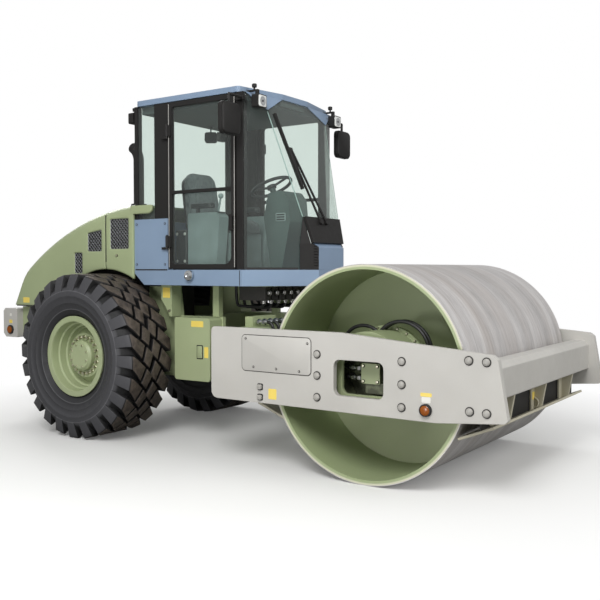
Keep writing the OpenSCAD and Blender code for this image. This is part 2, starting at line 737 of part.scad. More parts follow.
// a lugged tyre as one skin: each row is groove radius, groove Y, lug radius, lug Y and its turn in pitches
module tyre() {
  h = tyre_w / 2;
  ym = tyre_out - h;
  f = h * 0.72;
  g = tyre_r - lug_h;
  // lugs stand on the groove floor and reach round the shoulder
  b = (bead_r + 0.2) / cos(94 / lugs);
  half = [[b, f - 9, b, f - 9, 0], [tyre_r * 0.79, h - 4, tyre_r * 0.79, h - 4, 0], [g - 34, h - 42, tyre_r - 64, h - 22, 0.02],
    [g, h - 84, tyre_r, h - 66, 0.08], [g, 104, tyre_r, 104, 0.42], [g, 84, g, 84, 0.68]];
  middle = [[g, 64, tyre_r, 64, 0.94], [g, -64, tyre_r, -64, 1.56]];
  far = [for (i = [len(half) - 1 : -1 : 0]) let (v = half[i]) [v[0], -v[1], v[2], -v[3], 2.5 - v[4]]];
  rows = concat(half, middle, far);
  steps = [0, 0.36, 0.42, 0.94];
  cols = lugs * len(steps);
  points = [for (v = rows, i = [0 : lugs - 1], j = [0 : len(steps) - 1])
    let (up = j > 1, r = up ? v[2] : v[0], y = up ? v[3] : v[1], a = 360 / lugs * (i + steps[j] + v[4]))
    [xa + r * sin(a), ym + y, tyre_r + r * cos(a)]];
  n = len(rows);
  faces = [for (k = [0 : n - 1], j = [0 : cols - 1])
    let (m = k == n - 1 ? 2 * len(steps) : 0, up = ((k + 1) % n) * cols)
    let (a = k * cols + j, b = k * cols + (j + 1) % cols, c = up + (j + 1 + m) % cols, d = up + (j + m) % cols)
    each [[a, b, c], [a, c, d]]];
  polyhedron(points, faces);
}
module tyre_left() {
  color("DarkSlateGray") tyre();
}
module tyre_right() {
  color("DarkSlateGray") mirror([0, 1, 0]) tyre();
}
// a rim: barrel with two flanges, deep disc and closed hub
module rim() {
  h = tyre_w / 2;
  ym = tyre_out - h;
  f = h * 0.72;
  r1 = bead_r - 0.1;
  b = spindle_r + bearing_gap;
  e = ym + f + 26;
  // the barrel steps in twice on its way to a disc that bulges out round the hub
  turned(xa, tyre_r, [[b, 606], [170, 606], [170, e - 235], [r1 - 16, e - 235], [r1 - 16, ym - f], [r1, ym - f - 26],
    [flange_r, ym - f - 26], [flange_r, ym - f - 8], [r1, ym - f + 8], [r1, ym + f - 8], [flange_r, ym + f + 8], [flange_r, e],
    [r1 - 8, e], [r1 - 12, e - 14], [r1 - 18, e - 78], [r1 - 32, e - 86], [r1 - 40, e - 150], [r1 - 54, e - 158], [r1 - 60, e - 192],
    [r1 - 68, e - 207], [205, 985], [142, 985], [142, 1030], [120, 1052], [0, 1052], [0, 992], [b, 992]]);
}
module rim_left() {
  color("OliveDrab") rim();
}
module rim_right() {
  color("OliveDrab") mirror([0, 1, 0]) rim();
}

module cab_supports() {
  color("OliveDrab") both_sides() {
    difference() {
      block(xa + 610, xa + 738, rail_out, 600, 1126, cab_low);
      arch_cut();
    }
    block(xp - 340, xp - 270, rail_in - 10, rail_out + 10, 1130, cab_low);
  }
}
// the cab's plan with its wedge front, moved in by d
function cab_plan(d) = [[cab_back + d, -cab_half + d], [cab_front - d * 0.4, -cab_half + d], [cab_front + 417 - d, -243 + d * 0.4],
  [cab_front + nose_len - d, -205], [cab_front + nose_len - d, 205], [cab_front + 417 - d, 243 - d * 0.4],
  [cab_front - d * 0.4, cab_half - d], [cab_back + d, cab_half - d]];
module cab_base() {
  color("SteelBlue") difference() {
    translate([0, 0, cab_low]) linear_extrude(sill_top - cab_low) polygon(cab_plan(0));
    // the rear lower edge is cut at a slant
    side_view([[cab_back - 5, cab_low - 5], [cab_back + 125, cab_low - 5], [cab_back - 5, cab_low + 110]], -cab_half - 5, cab_half + 5);
    arch_cut();
  }
}
module cab_side_panels() {
  color("SteelBlue") difference() {
    both_sides() block(cab_back, door_back - 12, cab_half - 70, cab_half, sill_top, panel_top);
    arch_cut();
  }
}
module cab_rear_panel() {
  color("SteelBlue") block(cab_back, cab_back + 40, -cab_half + 70, cab_half - 70, sill_top, panel_top);
}
module cab_posts() {
  y1 = cab_half - 10;
  y0 = cab_half - 70;
  color("Black") both_sides() {
    block(cab_front - post_w, cab_front, y0, y1, sill_top, roof_low);
    block(cab_back + 250, door_back - 12, y0, y1, panel_top, roof_low);
    block(cab_back, cab_back + 36, y0, y1, panel_top, roof_low);
    // hinge pins of the door
    for (z = [1760, 2750]) {
      rod_z(hinge_x, hinge_y, 9, z, z + 110);
      block(hinge_x - 60, hinge_x - 4, z < panel_top ? cab_half : y1 - 1, hinge_y + 7, z - 22, z);
      rod_z(hinge_x, hinge_y, 14, z - 22, z);
    }
  }
}
module headliner() {
  y = cab_half - 70;
  color("DimGray") {
    block(cab_back + 40, cab_front, -y, y, roof_low - 65, roof_low);
    block(cab_front - 1, cab_front + 36, -188, 188, roof_low - 48, roof_low);
  }
}
function roof_plan(d) =
  let (y = cab_half - 4 - d)
  [[cab_back + 8 + d, -y], [cab_front - 40 - d, -y], [cab_front + 66 - d, -196 + d * 0.5], [cab_front + 66 - d, 196 - d * 0.5],
    [cab_front - 40 - d, y], [cab_back + 8 + d, y]];
// the roof's slanted front edge at y
function roof_edge(y) = cab_front - 40 + 106 * (cab_half - 4 - y) / (cab_half - 200);
// a light triangle between the roof, the windscreen and the angled pane
module gusset() {
  p = [[cab_front + 10, 678, roof_low - 0.2], [cab_front + 56, 198, roof_low - 0.2], [cab_front + 94, 464, 2926]];
  q = [for (v = p) v + [7, 0, 0]];
  polyhedron(concat(p, q), [[0, 2, 1], [3, 4, 5], [0, 1, 4], [0, 4, 3], [1, 2, 5], [1, 5, 4], [2, 0, 3], [2, 3, 5]]);
}
module cab_roof() {
  step = 16;
  color("SteelBlue") {
    translate([0, 0, roof_low]) linear_extrude(roof_t - step) polygon(rounded(roof_plan(0), [60, 30, 30, 30, 30, 60]));
    translate([0, 0, roof_low + 5]) linear_extrude(roof_t - 5) polygon(rounded(roof_plan(60), [60, 30, 30, 30, 30, 60]));
    both_sides() gusset();
  }
}
// a flat piece in the windscreen's plane, drawn as Y and distance up the slope
module screen_plate(p, t) {
  translate([cab_front + 340, 0, 2010]) rotate([0, -screen_lean, 0]) rotate([90, 0, 90]) linear_extrude(t) polygon(p);
}
function slope(z) = (z - 2010) / cos(screen_lean);
module windscreen() {
  color("PaleGreen", 0.4) screen_plate([[-285, 0.3], [285, 0.3], [455, slope(2920)], [190, slope(roof_low - 4)], [-190, slope(roof_low - 4)],
    [-455, slope(2920)]], glass_t);
}
// a point of the wedge front in plan, set back by d from the outer faces
function wedge_point(i, d) =
  let (u = unit(wedge[1] - wedge[0]), v = unit(wedge[2] - wedge[1]))
  let (a = [-u.y, u.x], b = [-v.y, v.x], n = i == 0 ? a : i == 2 ? b : (a + b) / (1 + a * b))
  [cab_front, 0] + wedge[i] - d * n;
// black cheeks close the wedge below the glass, with a louvre beside the nose
module cheek() {
  w = [for (d = [0, cheek_t], i = [0 : 2]) wedge_point(i, d)];
  difference() {
    intersection() {
      translate([0, 0, sill_top]) linear_extrude(nose_top - sill_top) polygon([w[0], w[1], w[2], w[5], w[4], w[3]]);
      nose_side();
    }
    for (k = [0 : 7]) translate([(w[1].x + w[2].x) / 2, (w[1].y + w[2].y) / 2, sill_top + 26 + k * 24]) rotate([0, 0, 45])
      translate([-8, -18, 0]) cube([20, 36, 12]);
  }
  p = [[cab_front + 336, 319, nose_top - 4], [cab_front + 404, 256, nose_top - 4], [cab_front + 344, 289, 2006], [cab_front + 342, 293, 2006]];
  q = [for (v = p) v - [5, 12, 0]];
  polyhedron(concat(p, q), [[0, 1, 2], [0, 2, 3], [6, 5, 4], [7, 6, 4], [5, 1, 0], [4, 5, 0], [6, 2, 1], [5, 6, 1], [7, 3, 2], [6, 7, 2],
    [4, 0, 3], [7, 4, 3]]);
}
module dash_panel() {
  color("Black") {
    screen_plate([[-246, slope(nose_top + 0.3)], [246, slope(nose_top + 0.3)], [279, 0], [-279, 0]], 30);
    both_sides() cheek();
  }
}
module cab_nose() {
  w = [for (i = [0 : 2]) wedge_point(i, cheek_t)];
  x1 = cab_front + nose_len;
  half = [w[0], w[1], w[2], [x1, wedge[2].y]];
  plan = concat(half, [for (i = [3 : -1 : 0]) [half[i].x, -half[i].y]]);
  color("SteelBlue") intersection() {
    translate([0, 0, sill_top]) linear_extrude(nose_top - sill_top) polygon(plan);
    nose_side();
  }
}
// the nose from the side, with its bevelled front edge
module nose_side() {
  x1 = cab_front + nose_len;
  side_view([[cab_front, sill_top], [x1, sill_top], [x1, nose_top - 34], [x1 - 46, nose_top], [cab_front, nose_top]], -cab_half, cab_half);
}
// an angled front pane between the post, the nose and the windscreen
module front_pane() {
  p = [[cab_front + 3, 676, sill_top], [cab_front + 326, 328, sill_top], [cab_front + 326, 328, 1784], [cab_front + 336, 296, 2008],
    [cab_front + 84, 466, 2920], [cab_front + 3, 676, roof_low]];
  q = [for (v = p) v - [0, 14, 0]];
  polyhedron(concat(p, q), [[0, 1, 2], [0, 2, 3], [0, 3, 4], [0, 4, 5], [8, 7, 6], [9, 8, 6], [10, 9, 6], [11, 10, 6],
    [7, 1, 0], [6, 7, 0], [8, 2, 1], [7, 8, 1], [9, 3, 2], [8, 9, 2], [10, 4, 3], [9, 10, 3], [11, 5, 4], [10, 11, 4],
    [6, 0, 5], [11, 6, 5]]);
}
module cab_glass() {
  color("PaleGreen", 0.4) both_sides() {
    front_pane();
    block(cab_back + 36, cab_back + 250, cab_half - 30, cab_half - 22, panel_top, roof_low);
  }
  color("PaleGreen", 0.4) block(cab_back + 10, cab_back + 20, -cab_half + 70, cab_half - 70, panel_top, roof_low);
}

module seat_base() {
  x0 = cab_back + 310;
  color("Gray") {
    block(x0, x0 + 470, -235, 235, sill_top, 1640);
    block(x0 + 10, x0 + 450, -250, 250, 1640, 1900);
  }
}
module seat_cushion() {
  x0 = cab_back + 300;
  color("DimGray") translate([x0 + 255, 0, 1900.3]) linear_extrude(130) polygon(rounded(box_points(510, 500), 60));
}
module seat_back() {
  x0 = cab_back + 260;
  color("DimGray") side_view(rounded([[x0 - 40, 1960], [x0 - 40, 1880], [x0 + 39.7, 1880], [x0 + 39.7, 2060], [x0 - 30, 2520],
    [x0 - 120, 2505]], 12), -235, 235);
}
module console() {
  color("Gray") both_sides() {
    side_view(rounded([[cab_back + 420, sill_top], [cab_back + 760, sill_top], [cab_back + 800, 2040], [cab_back + 760, 2080],
      [cab_back + 420, 2080]], 20), 300, 430);
    // a lever with its knob
    translate([cab_back + 730, 365, 2070]) rotate([0, 12, 0]) cylinder(r = 9, h = 150);
    translate([cab_back + 764, 365, 2228]) sphere(r = 24);
  }
}
module steering_column() {
  x = cab_front - 60;
  color("CadetBlue") {
    side_view(rounded([[x - 40, sill_top], [x + 80, sill_top], [x + 170, 1990], [x + 150, 2190], [x + 90, 2270], [x - 70, 2250], [x - 120, 2030]],
      [4, 4, 60, 60, 50, 30, 60]), -150, 150);
    translate(wheel_at) rotate([0, -25, 0]) translate([0, 0, -150]) cylinder(r = 28, h = 136);
  }
}
module steering_wheel() {
  color("Black") translate(wheel_at) rotate([0, -25, 0]) {
    rotate_extrude() translate([190, 0]) circle(r = 15, $fn = 24);
    for (a = [0, 120, 240]) rotate([0, 0, a]) translate([0, -12, -8]) cube([186, 24, 14]);
    translate([0, 0, -13.7]) cylinder(r = 44, h = 28);
  }
}
module mirrors() {
  mid = [cab_front + 16, 890, 2800];
  high = 265;
  arm_z = mid.z + high / 2 + 70;
  color("Black") both_sides() {
    translate(mid - [16, 0, 0]) rotate([90, 0, 90]) linear_extrude(36) polygon(rounded(box_points(245, high), 45));
    rod_z(mid.x, mid.y, 12, mid.z + high / 2 - 2, arm_z);
    translate([mid.x, mid.y, arm_z]) sphere(r = 12);
    rod_y(mid.x, arm_z, 12, cab_half + 10, mid.y);
    block(cab_front - 50, mid.x + 14, cab_half - 10, cab_half + 24, arm_z - 20, arm_z + 20);
  }
}
module work_lamps() {
  color("Black") both_sides() {
    translate([cab_front + 75, 603, 2975]) rotate([90, 0, 90]) linear_extrude(70) polygon(rounded(box_points(120, 110), 14));
    translate([0, 0, roof_low + 4]) linear_extrude(14)
      polygon([[roof_edge(590) + 0.2, 590], [cab_front + 104, 590], [cab_front + 104, 616], [roof_edge(616) + 0.2, 616]]);
    block(cab_front + 78, cab_front + 104, 590, 616, 3028, roof_low + 18);
    translate([cab_back - 75, 640, 2965]) rotate([90, 0, 90]) linear_extrude(60) polygon(rounded(box_points(110, 100), 14));
    block(cab_back - 20, cab_back, 630, 650, 2950, 2980);
  }
}
// two arms on the dash panel carry one blade on the glass
module wiper() {
  low = [-225, 250];
  high = [-400, 920];
  mid = (low + high) / 2;
  u = unit(high - low);
  n = [u.y, -u.x];
  color("Black") {
    lifted(glass_t + 0.3) screen_plate([low - 9 * n, low + 9 * n, high + 9 * n, high - 9 * n], 30);
    for (y = [-70, 20]) {
      foot = [y, -45];
      lifted(30.3) screen_plate([foot + [-10, 0], foot + [12, 0], mid + [y * 0.35 + 40, 20], mid + [y * 0.35 + 18, 20]], 12);
      lifted(30.3) screen_plate([for (a = [0 : 30 : 330]) foot + 24 * [cos(a), sin(a)]], 22);
    }
    lifted(30.3) screen_plate([mid - [12, 0], mid + [54, 0], mid + [50, 34], mid - [12, -34]], 12);
  }
}
// moves a piece off the windscreen's plane by d
module lifted(d) {
  translate(d * [cos(screen_lean), 0, sin(screen_lean)]) children();
}

// a door: a black ring with a middle bar, hinged at its rear edge
module door_frame() {
  y0 = cab_half - door_t;
  difference() {
    side_view(rounded([[door_back, door_low], [door_front, door_low], [door_front, door_top], [door_back, door_top]], 12), y0, cab_half);
    for (p = door_panes) side_view(p, y0 - 1, cab_half + 1);
  }
  // a bow handle near the free edge
  side_handle = [[door_front - 42, 1890], [door_front - 14, 1890], [door_front - 14, 2030], [door_front - 42, 2030]];
  difference() {
    side_view(rounded(side_handle, 8), cab_half - 1, cab_half + 34);
    block(door_front - 60, door_front, cab_half, cab_half + 20, 1912, 2008);
  }
  for (z = [1760, 2750]) difference() {
    union() {
      rod_z(hinge_x, hinge_y, 14, z + 2, z + 100);
      block(hinge_x, door_back + 40, cab_half - 0.5, hinge_y + 7, z + 2, z + 100);
    }
    rod_z(hinge_x, hinge_y, 9 + pivot_gap, z, z + 120);
  }
}
module door_glass() {
  y0 = cab_half - 22;
  for (p = door_panes) side_view(p, y0, y0 + 8);
}
module door_frame_left() {
  color("Black") door_frame();
}
module door_frame_right() {
  color("Black") mirror([0, 1, 0]) door_frame();
}
module door_glass_left() {
  color("PaleGreen", 0.4) door_glass();
}
module door_glass_right() {
  color("PaleGreen", 0.4) mirror([0, 1, 0]) door_glass();
}

drum_shell();
drum_ends();
side_plate_right();
side_plate_left();
front_beam();
rear_beam();
carrier_right();
carrier_left();
buffers();
fittings();
hoses();
scrapers();
scraper_sheet();
side_lamps();
pivot_pin();
ram_barrel_right();
ram_rod_right();
ram_barrel_left();
ram_rod_left();
frame_rails();
tongue();
tanks();
rear_axle();
engine();
bumper();
rear_lamps();
shroud();
shroud_grilles();
exhaust();
hood();
hood_grilles();
tyre_right();
rim_right();
tyre_left();
rim_left();
cab_supports();
cab_base();
cab_side_panels();
cab_rear_panel();
cab_posts();
headliner();
cab_roof();
windscreen();
dash_panel();
cab_nose();
cab_glass();
seat_base();
seat_cushion();
seat_back();
console();
steering_column();
steering_wheel();
mirrors();
work_lamps();
wiper();
door_frame_right();
door_glass_right();
door_frame_left();
door_glass_left();
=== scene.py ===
# %% [markdown]
# # A single drum road roller
# The machine stands on a pale studio floor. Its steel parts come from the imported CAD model, and this lesson
# gives them their finishes and adds what a drawing leaves out: lugs, nuts, bolts, signs, cushions.

# %% Load the CAD frame
import bpy
import bmesh
import json
from math import sin, cos, pi, radians
from mathutils import Vector, Matrix


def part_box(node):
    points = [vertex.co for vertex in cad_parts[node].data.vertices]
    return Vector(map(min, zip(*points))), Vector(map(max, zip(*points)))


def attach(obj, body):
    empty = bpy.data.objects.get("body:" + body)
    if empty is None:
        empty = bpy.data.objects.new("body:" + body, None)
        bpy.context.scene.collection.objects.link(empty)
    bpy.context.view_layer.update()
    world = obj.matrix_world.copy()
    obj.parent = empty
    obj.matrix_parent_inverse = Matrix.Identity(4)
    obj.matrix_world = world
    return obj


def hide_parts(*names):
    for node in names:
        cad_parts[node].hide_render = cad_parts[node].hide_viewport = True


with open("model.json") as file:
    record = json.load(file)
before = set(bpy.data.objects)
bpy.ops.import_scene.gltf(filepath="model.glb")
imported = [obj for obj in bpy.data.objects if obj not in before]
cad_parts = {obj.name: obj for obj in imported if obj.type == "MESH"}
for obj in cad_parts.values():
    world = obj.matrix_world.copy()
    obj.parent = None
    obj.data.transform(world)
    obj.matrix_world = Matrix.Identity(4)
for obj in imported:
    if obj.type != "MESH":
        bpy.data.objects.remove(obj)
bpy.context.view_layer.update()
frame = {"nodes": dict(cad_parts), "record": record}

nodes = frame["nodes"]
scene = bpy.context.scene

# %% [markdown]
# ## The camera
# The photograph was taken from the front right at about the height of the drum's top. The place and the
# direction were fitted to the drum's two rims, so the picture can be compared edge by edge.

# %% Camera
IMAGE_PX = 600
FOCAL_PX = 829
SENSOR_MM = 36.0
cam_data = bpy.data.cameras.new("photo_camera")
cam_data.sensor_width = SENSOR_MM
cam_data.lens = SENSOR_MM * FOCAL_PX / IMAGE_PX
cam_data.clip_end = 200.0
camera = bpy.data.objects.new("photo_camera", cam_data)
camera.location = (4.7024, -6.2389, 1.5646)
camera.rotation_euler = Vector((-0.56101, 0.82696, -0.03758)).to_track_quat("-Z", "Y").to_euler()
scene.collection.objects.link(camera)
scene.camera = camera
print("lens", round(cam_data.lens, 1), "mm")

# %% [markdown]
# ## Small helpers
# Colours are noted as sRGB hex, the way a paint chart gives them, while the shader wants linear light. One
# function does that. Another adds a shader node with its settings and links and gives back one output, and
# inputs may be named or just listed in order. The node kinds that come often get short names.

# %% Colour and node helpers
MM = 0.001
NOISE = "ShaderNodeTexNoise"
RANGE = "ShaderNodeMapRange"
MATH = "ShaderNodeMath"
MIX = "ShaderNodeMix"
BUMP = "ShaderNodeBump"
SPLIT = "ShaderNodeSeparateXYZ"
VECTOR = "ShaderNodeVectorMath"
MAPPING = "ShaderNodeMapping"
# a mix node's inputs 0, 6 and 7 are its share and two colours, and its output 2 is the mixed colour
MIXED = 2


def linear(code):
    parts = [int(code[i:i + 2], 16) / 255 for i in (1, 3, 5)]
    return [p / 12.92 if p <= 0.04045 else ((p + 0.055) / 1.055) ** 2.4 for p in parts] + [1.0]


def plug(tree, node, values):
    for name, value in values.items() if isinstance(values, dict) else enumerate(values):
        if isinstance(value, bpy.types.NodeSocket):
            tree.links.new(value, node.inputs[name])
        else:
            node.inputs[name].default_value = value


def put(tree, kind, values=(), out=0, **settings):
    node = tree.nodes.new(kind)
    for name, value in settings.items():
        setattr(node, name, value)
    plug(tree, node, values)
    return node.outputs[out]


def start(name):
    material = bpy.data.materials.new(name)
    material.use_nodes = True
    tree = material.node_tree
    place = put(tree, "ShaderNodeTexCoord", out="Object")
    return material, tree, tree.nodes["Principled BSDF"], place

# %% [markdown]
# ## Sprayed enamel
# The panels are steel sheet with a sprayed two-part enamel: satin, with a faint orange peel of about 4 mm,
# a slow drift of shade over half a metre and a film of site dust that grows towards the ground. Sheet is
# folded over a radius of a few millimetres, so a bevel node lets the edges catch the light.

# %% Enamel paints
SITE_DUST = "#A39C8C"
SAGE_GREEN = "#A0AC83"


def enamel(name, shade, rough, peel_mm=4.0, dust=0.22, mirror=0.5, fold_mm=6.0, fold_rays=6):
    material, tree, shader, place = start(name)
    drift = put(tree, NOISE, {"Vector": place, "Scale": 1 / (480 * MM), "Detail": 4.0})
    tone = put(tree, RANGE, (drift, 0.3, 0.7, 0.93, 1.05))
    base = put(tree, MIX, {0: 1.0, 6: linear(shade), 7: tone}, MIXED, data_type="RGBA", blend_type="MULTIPLY")
    height = put(tree, SPLIT, (place,), "Z")
    film = put(tree, RANGE, (height, 0.1, 1.3, dust, dust * 0.12))
    specks = put(tree, NOISE, {"Vector": place, "Scale": 1 / (60 * MM), "Detail": 6.0, "Roughness": 0.65})
    patchy = put(tree, MATH, (film, specks), operation="MULTIPLY")
    amount = put(tree, MATH, (patchy, 1.7), operation="MULTIPLY", use_clamp=True)
    dusty = put(tree, MIX, {0: amount, 6: base, 7: linear(SITE_DUST)}, MIXED, data_type="RGBA")
    gloss = put(tree, RANGE, (specks, 0.3, 0.7, rough - 0.05, rough + 0.09))
    peel = put(tree, NOISE, {"Vector": place, "Scale": 1 / (peel_mm * MM), "Detail": 2.0})
    folded = put(tree, "ShaderNodeBevel", (fold_mm * MM,), samples=fold_rays)
    bump = put(tree, BUMP, {"Height": peel, "Strength": 0.06, "Distance": 0.4 * MM, "Normal": folded})
    plug(tree, shader, {"Base Color": dusty, "Roughness": gloss, "Normal": bump, "IOR": 1.5,
                        "Specular IOR Level": mirror})
    return material


# sprayed enamel: soft broad highlights, duller towards the ground
green = enamel("sage_green_enamel", SAGE_GREEN, 0.40)
# pressed hood sheet, whose edges turn over a wide radius
hood_green = enamel("sage_green_hood_enamel", SAGE_GREEN, 0.38, fold_mm=26.0, fold_rays=10)
# the same enamel on the front frame: pale, with dust on its lower parts
grey = enamel("warm_grey_enamel", "#C0BEB9", 0.44)
# the cab's enamel, a little glossier: bright lines along its folds
blue = enamel("slate_blue_enamel", "#8196AF", 0.38)
# powder coat: dark satin, hardly a mirror
black = enamel("satin_black_powder_coat", "#1D1C1C", 0.50, peel_mm=2.0, dust=0.08, mirror=0.3)
# enamel on round bolt heads: a small bright spot on each dome
bolt_grey = enamel("grey_bolt_enamel", "#A5A39E", 0.36)
# dull primer: shade without a highlight
sand = enamel("sand_primer", "#BDB8A3", 0.55)
print("paints:", green.name, grey.name, blue.name, black.name)

# %% [markdown]
# ## Bare metals
# Pins, rods, plated nuts and castings each get a grain of their own size. A grain that is stretched one way
# looks turned or brushed, an even one looks cast or plated, and slow clouds keep a large face from being
# flat.

# %% Metals
def metal(name, shade, other, rough, stretch, grain_mm, bump_mm, metallic=1.0):
    material, tree, shader, place = start(name)
    drawn = put(tree, MAPPING, {"Vector": place, "Scale": stretch})
    grain = put(tree, NOISE, {"Vector": drawn, "Scale": 1 / (grain_mm * MM), "Detail": 6.0, "Roughness": 0.7})
    clouds = put(tree, NOISE, {"Vector": place, "Scale": 1 / (350 * MM), "Detail": 3.0})
    both = put(tree, MATH, (grain, clouds), operation="ADD")
    spread = put(tree, RANGE, (both, 0.75, 1.25))
    colour = put(tree, MIX, {0: spread, 6: linear(shade), 7: linear(other)}, MIXED, data_type="RGBA")
    gloss = put(tree, RANGE, (grain, 0.3, 0.7, rough - 0.08, rough + 0.08))
    bump = put(tree, BUMP, {"Height": grain, "Strength": 0.25, "Distance": bump_mm * MM})
    plug(tree, shader, {"Base Color": colour, "Roughness": gloss, "Normal": bump, "Metallic": metallic})
    return material


# turned steel: narrow gleams across its fine grooves
steel = metal("machined_steel", "#9A9A98", "#B9B8B4", 0.32, (1, 1, 0.1), 3, 0.05)
# hard chrome: sharp bright streaks
chrome = metal("hard_chrome", "#C9CBCC", "#DADCDD", 0.14, (0.1, 1, 1), 4, 0.01)
# zinc plate, passivated yellow: warm and softly blurred
zinc = metal("yellow_zinc_plate", "#C4BFA8", "#D6D2BF", 0.35, (1, 1, 1), 8, 0.05)
# sand cast iron: dark and pitted, it scatters light
iron = metal("cast_iron", "#3C3B39", "#53514D", 0.65, (1, 1, 1), 5, 0.4, 0.4)
# silvered glass: a clean mirror
mirror_glass = metal("silvered_mirror", "#C6CCD0", "#D2D8DB", 0.05, (1, 1, 1), 40, 0.0)
print("metals:", steel.name, chrome.name, zinc.name, iron.name)

# %% [markdown]
# ## Rubber, plastic and glass
# Mouldings carry a fine grain and a slow change of shade. Signs are blank vinyl. The cab glass is thin and
# a little green, so each pane only takes a few per cent of the light and mirrors more when seen edge on.

# %% Mouldings
def moulded(name, shade, rough, grain_mm, depth_mm, vary=0.12):
    material, tree, shader, place = start(name)
    grain = put(tree, NOISE, {"Vector": place, "Scale": 1 / (grain_mm * MM), "Detail": 3.0})
    clouds = put(tree, NOISE, {"Vector": place, "Scale": 1 / (200 * MM), "Detail": 3.0})
    tone = put(tree, RANGE, (clouds, 0.3, 0.7, 1 - vary, 1 + vary))
    base = put(tree, MIX, {0: 1.0, 6: linear(shade), 7: tone}, MIXED, data_type="RGBA", blend_type="MULTIPLY")
    gloss = put(tree, RANGE, (clouds, 0.3, 0.7, rough - 0.04, rough + 0.05))
    bump = put(tree, BUMP, {"Height": grain, "Strength": 0.3, "Distance": depth_mm * MM})
    plug(tree, shader, {"Base Color": base, "Roughness": gloss, "Normal": bump, "IOR": 1.5})
    return material


# moulded rubber: black, with a wide weak sheen
rubber = moulded("black_rubber", "#1F1E1D", 0.62, 3, 0.2)
# smooth hose cover: a thin light line along each bend
hose_rubber = moulded("hydraulic_hose_rubber", "#1B1B1C", 0.42, 2, 0.1)
# injection moulded plastic with a leather grain: even and dull
trim = moulded("grained_cab_plastic", "#52625F", 0.55, 2.5, 0.15)
# the same in near black: reads as shadow behind the glass
dark_trim = moulded("dark_cab_plastic", "#24292A", 0.5, 2.5, 0.15)
# pale moulded lining: shows the light that the windows let in
light_trim = moulded("pale_cab_lining", "#8A9998", 0.6, 4, 0.15)
# felted lining: quite matt
roof_lining = moulded("grey_roof_lining", "#4A5554", 0.7, 5, 0.3)
# moulded acrylic lens: deep orange with a sharp spot of light
amber = moulded("amber_lens_plastic", "#8F4B0C", 0.2, 6, 0.3, 0.08)
# pressed lamp glass: white, with broken highlights
white_lens = moulded("ribbed_lamp_glass", "#E4E6E3", 0.15, 8, 0.5, 0.04)
# vinyl film: flat, bright and even
yellow_sign = moulded("yellow_vinyl_sign", "#EDD367", 0.4, 30, 0.05, 0.05)
# the same film in white
white_sign = moulded("white_vinyl_sign", "#E3E1DA", 0.4, 30, 0.05, 0.05)
# dark washer: a dark line round each bolt, partly painted shade at the foot of each head
dark_ring = moulded("dark_washer", "#2A2825", 0.5, 4, 0.1)
# ground and polished edge of a pane: pale green, partly a painted highlight
glass_edge_highlight = moulded("glass_edge_painted_highlight", "#8FA8A0", 0.2, 20, 0.05, 0.05)
print("mouldings made")

# %% Cab glass
def tinted_glass(name, shade, film_mm):
    material, tree, shader, place = start(name)
    film = put(tree, NOISE, {"Vector": place, "Scale": 1 / (film_mm * MM), "Detail": 4.0})
    wiped = put(tree, RANGE, (film, 0.3, 0.7, 0.02, 0.06))
    edge_on = put(tree, "ShaderNodeLayerWeight", {"Blend": 0.5}, "Facing")
    steep = put(tree, MATH, (edge_on, 4.0), operation="POWER")
    share = put(tree, RANGE, (steep, 0.0, 1.0, 0.03, 0.55))
    clear = put(tree, "ShaderNodeBsdfTransparent", {"Color": linear(shade)})
    plug(tree, shader, {"Base Color": linear(shade), "Roughness": wiped, "IOR": 1.52})
    pane = put(tree, "ShaderNodeMixShader", (share, clear, shader.outputs[0]))
    plug(tree, tree.nodes["Material Output"], {"Surface": pane})
    return material


# float glass: nearly clear, and a mirror at a slant
glass = tinted_glass("green_tinted_glass", "#F3F7F5", 300)
print("glass", glass.name)

# %% [markdown]
# ## Tyre rubber
# Four zones colour the rubber. The side wall pales outwards from the rim, as painted shade near the rim and a
# painted highlight towards the bulge and along its ridges. The lug tops are brown with earth, and the grooves
# and lug flanks are painted black as painted shade. Radius, distance from the tread's middle and the surface
# normal along the turn separate them, all in the wheel's own coordinates, so they turn with it.

# %% Distance from an axle
def from_axle(tree, place, axle_x, axle_z):
    apart = put(tree, SPLIT, (place,)).node.outputs
    forward = put(tree, MATH, (apart["X"], axle_x), operation="SUBTRACT")
    upward = put(tree, MATH, (apart["Z"], axle_z), operation="SUBTRACT")
    spoke = put(tree, "ShaderNodeCombineXYZ", {"X": forward, "Z": upward})
    radius = put(tree, VECTOR, (spoke,), "Value", operation="LENGTH")
    return apart["Y"], spoke, radius

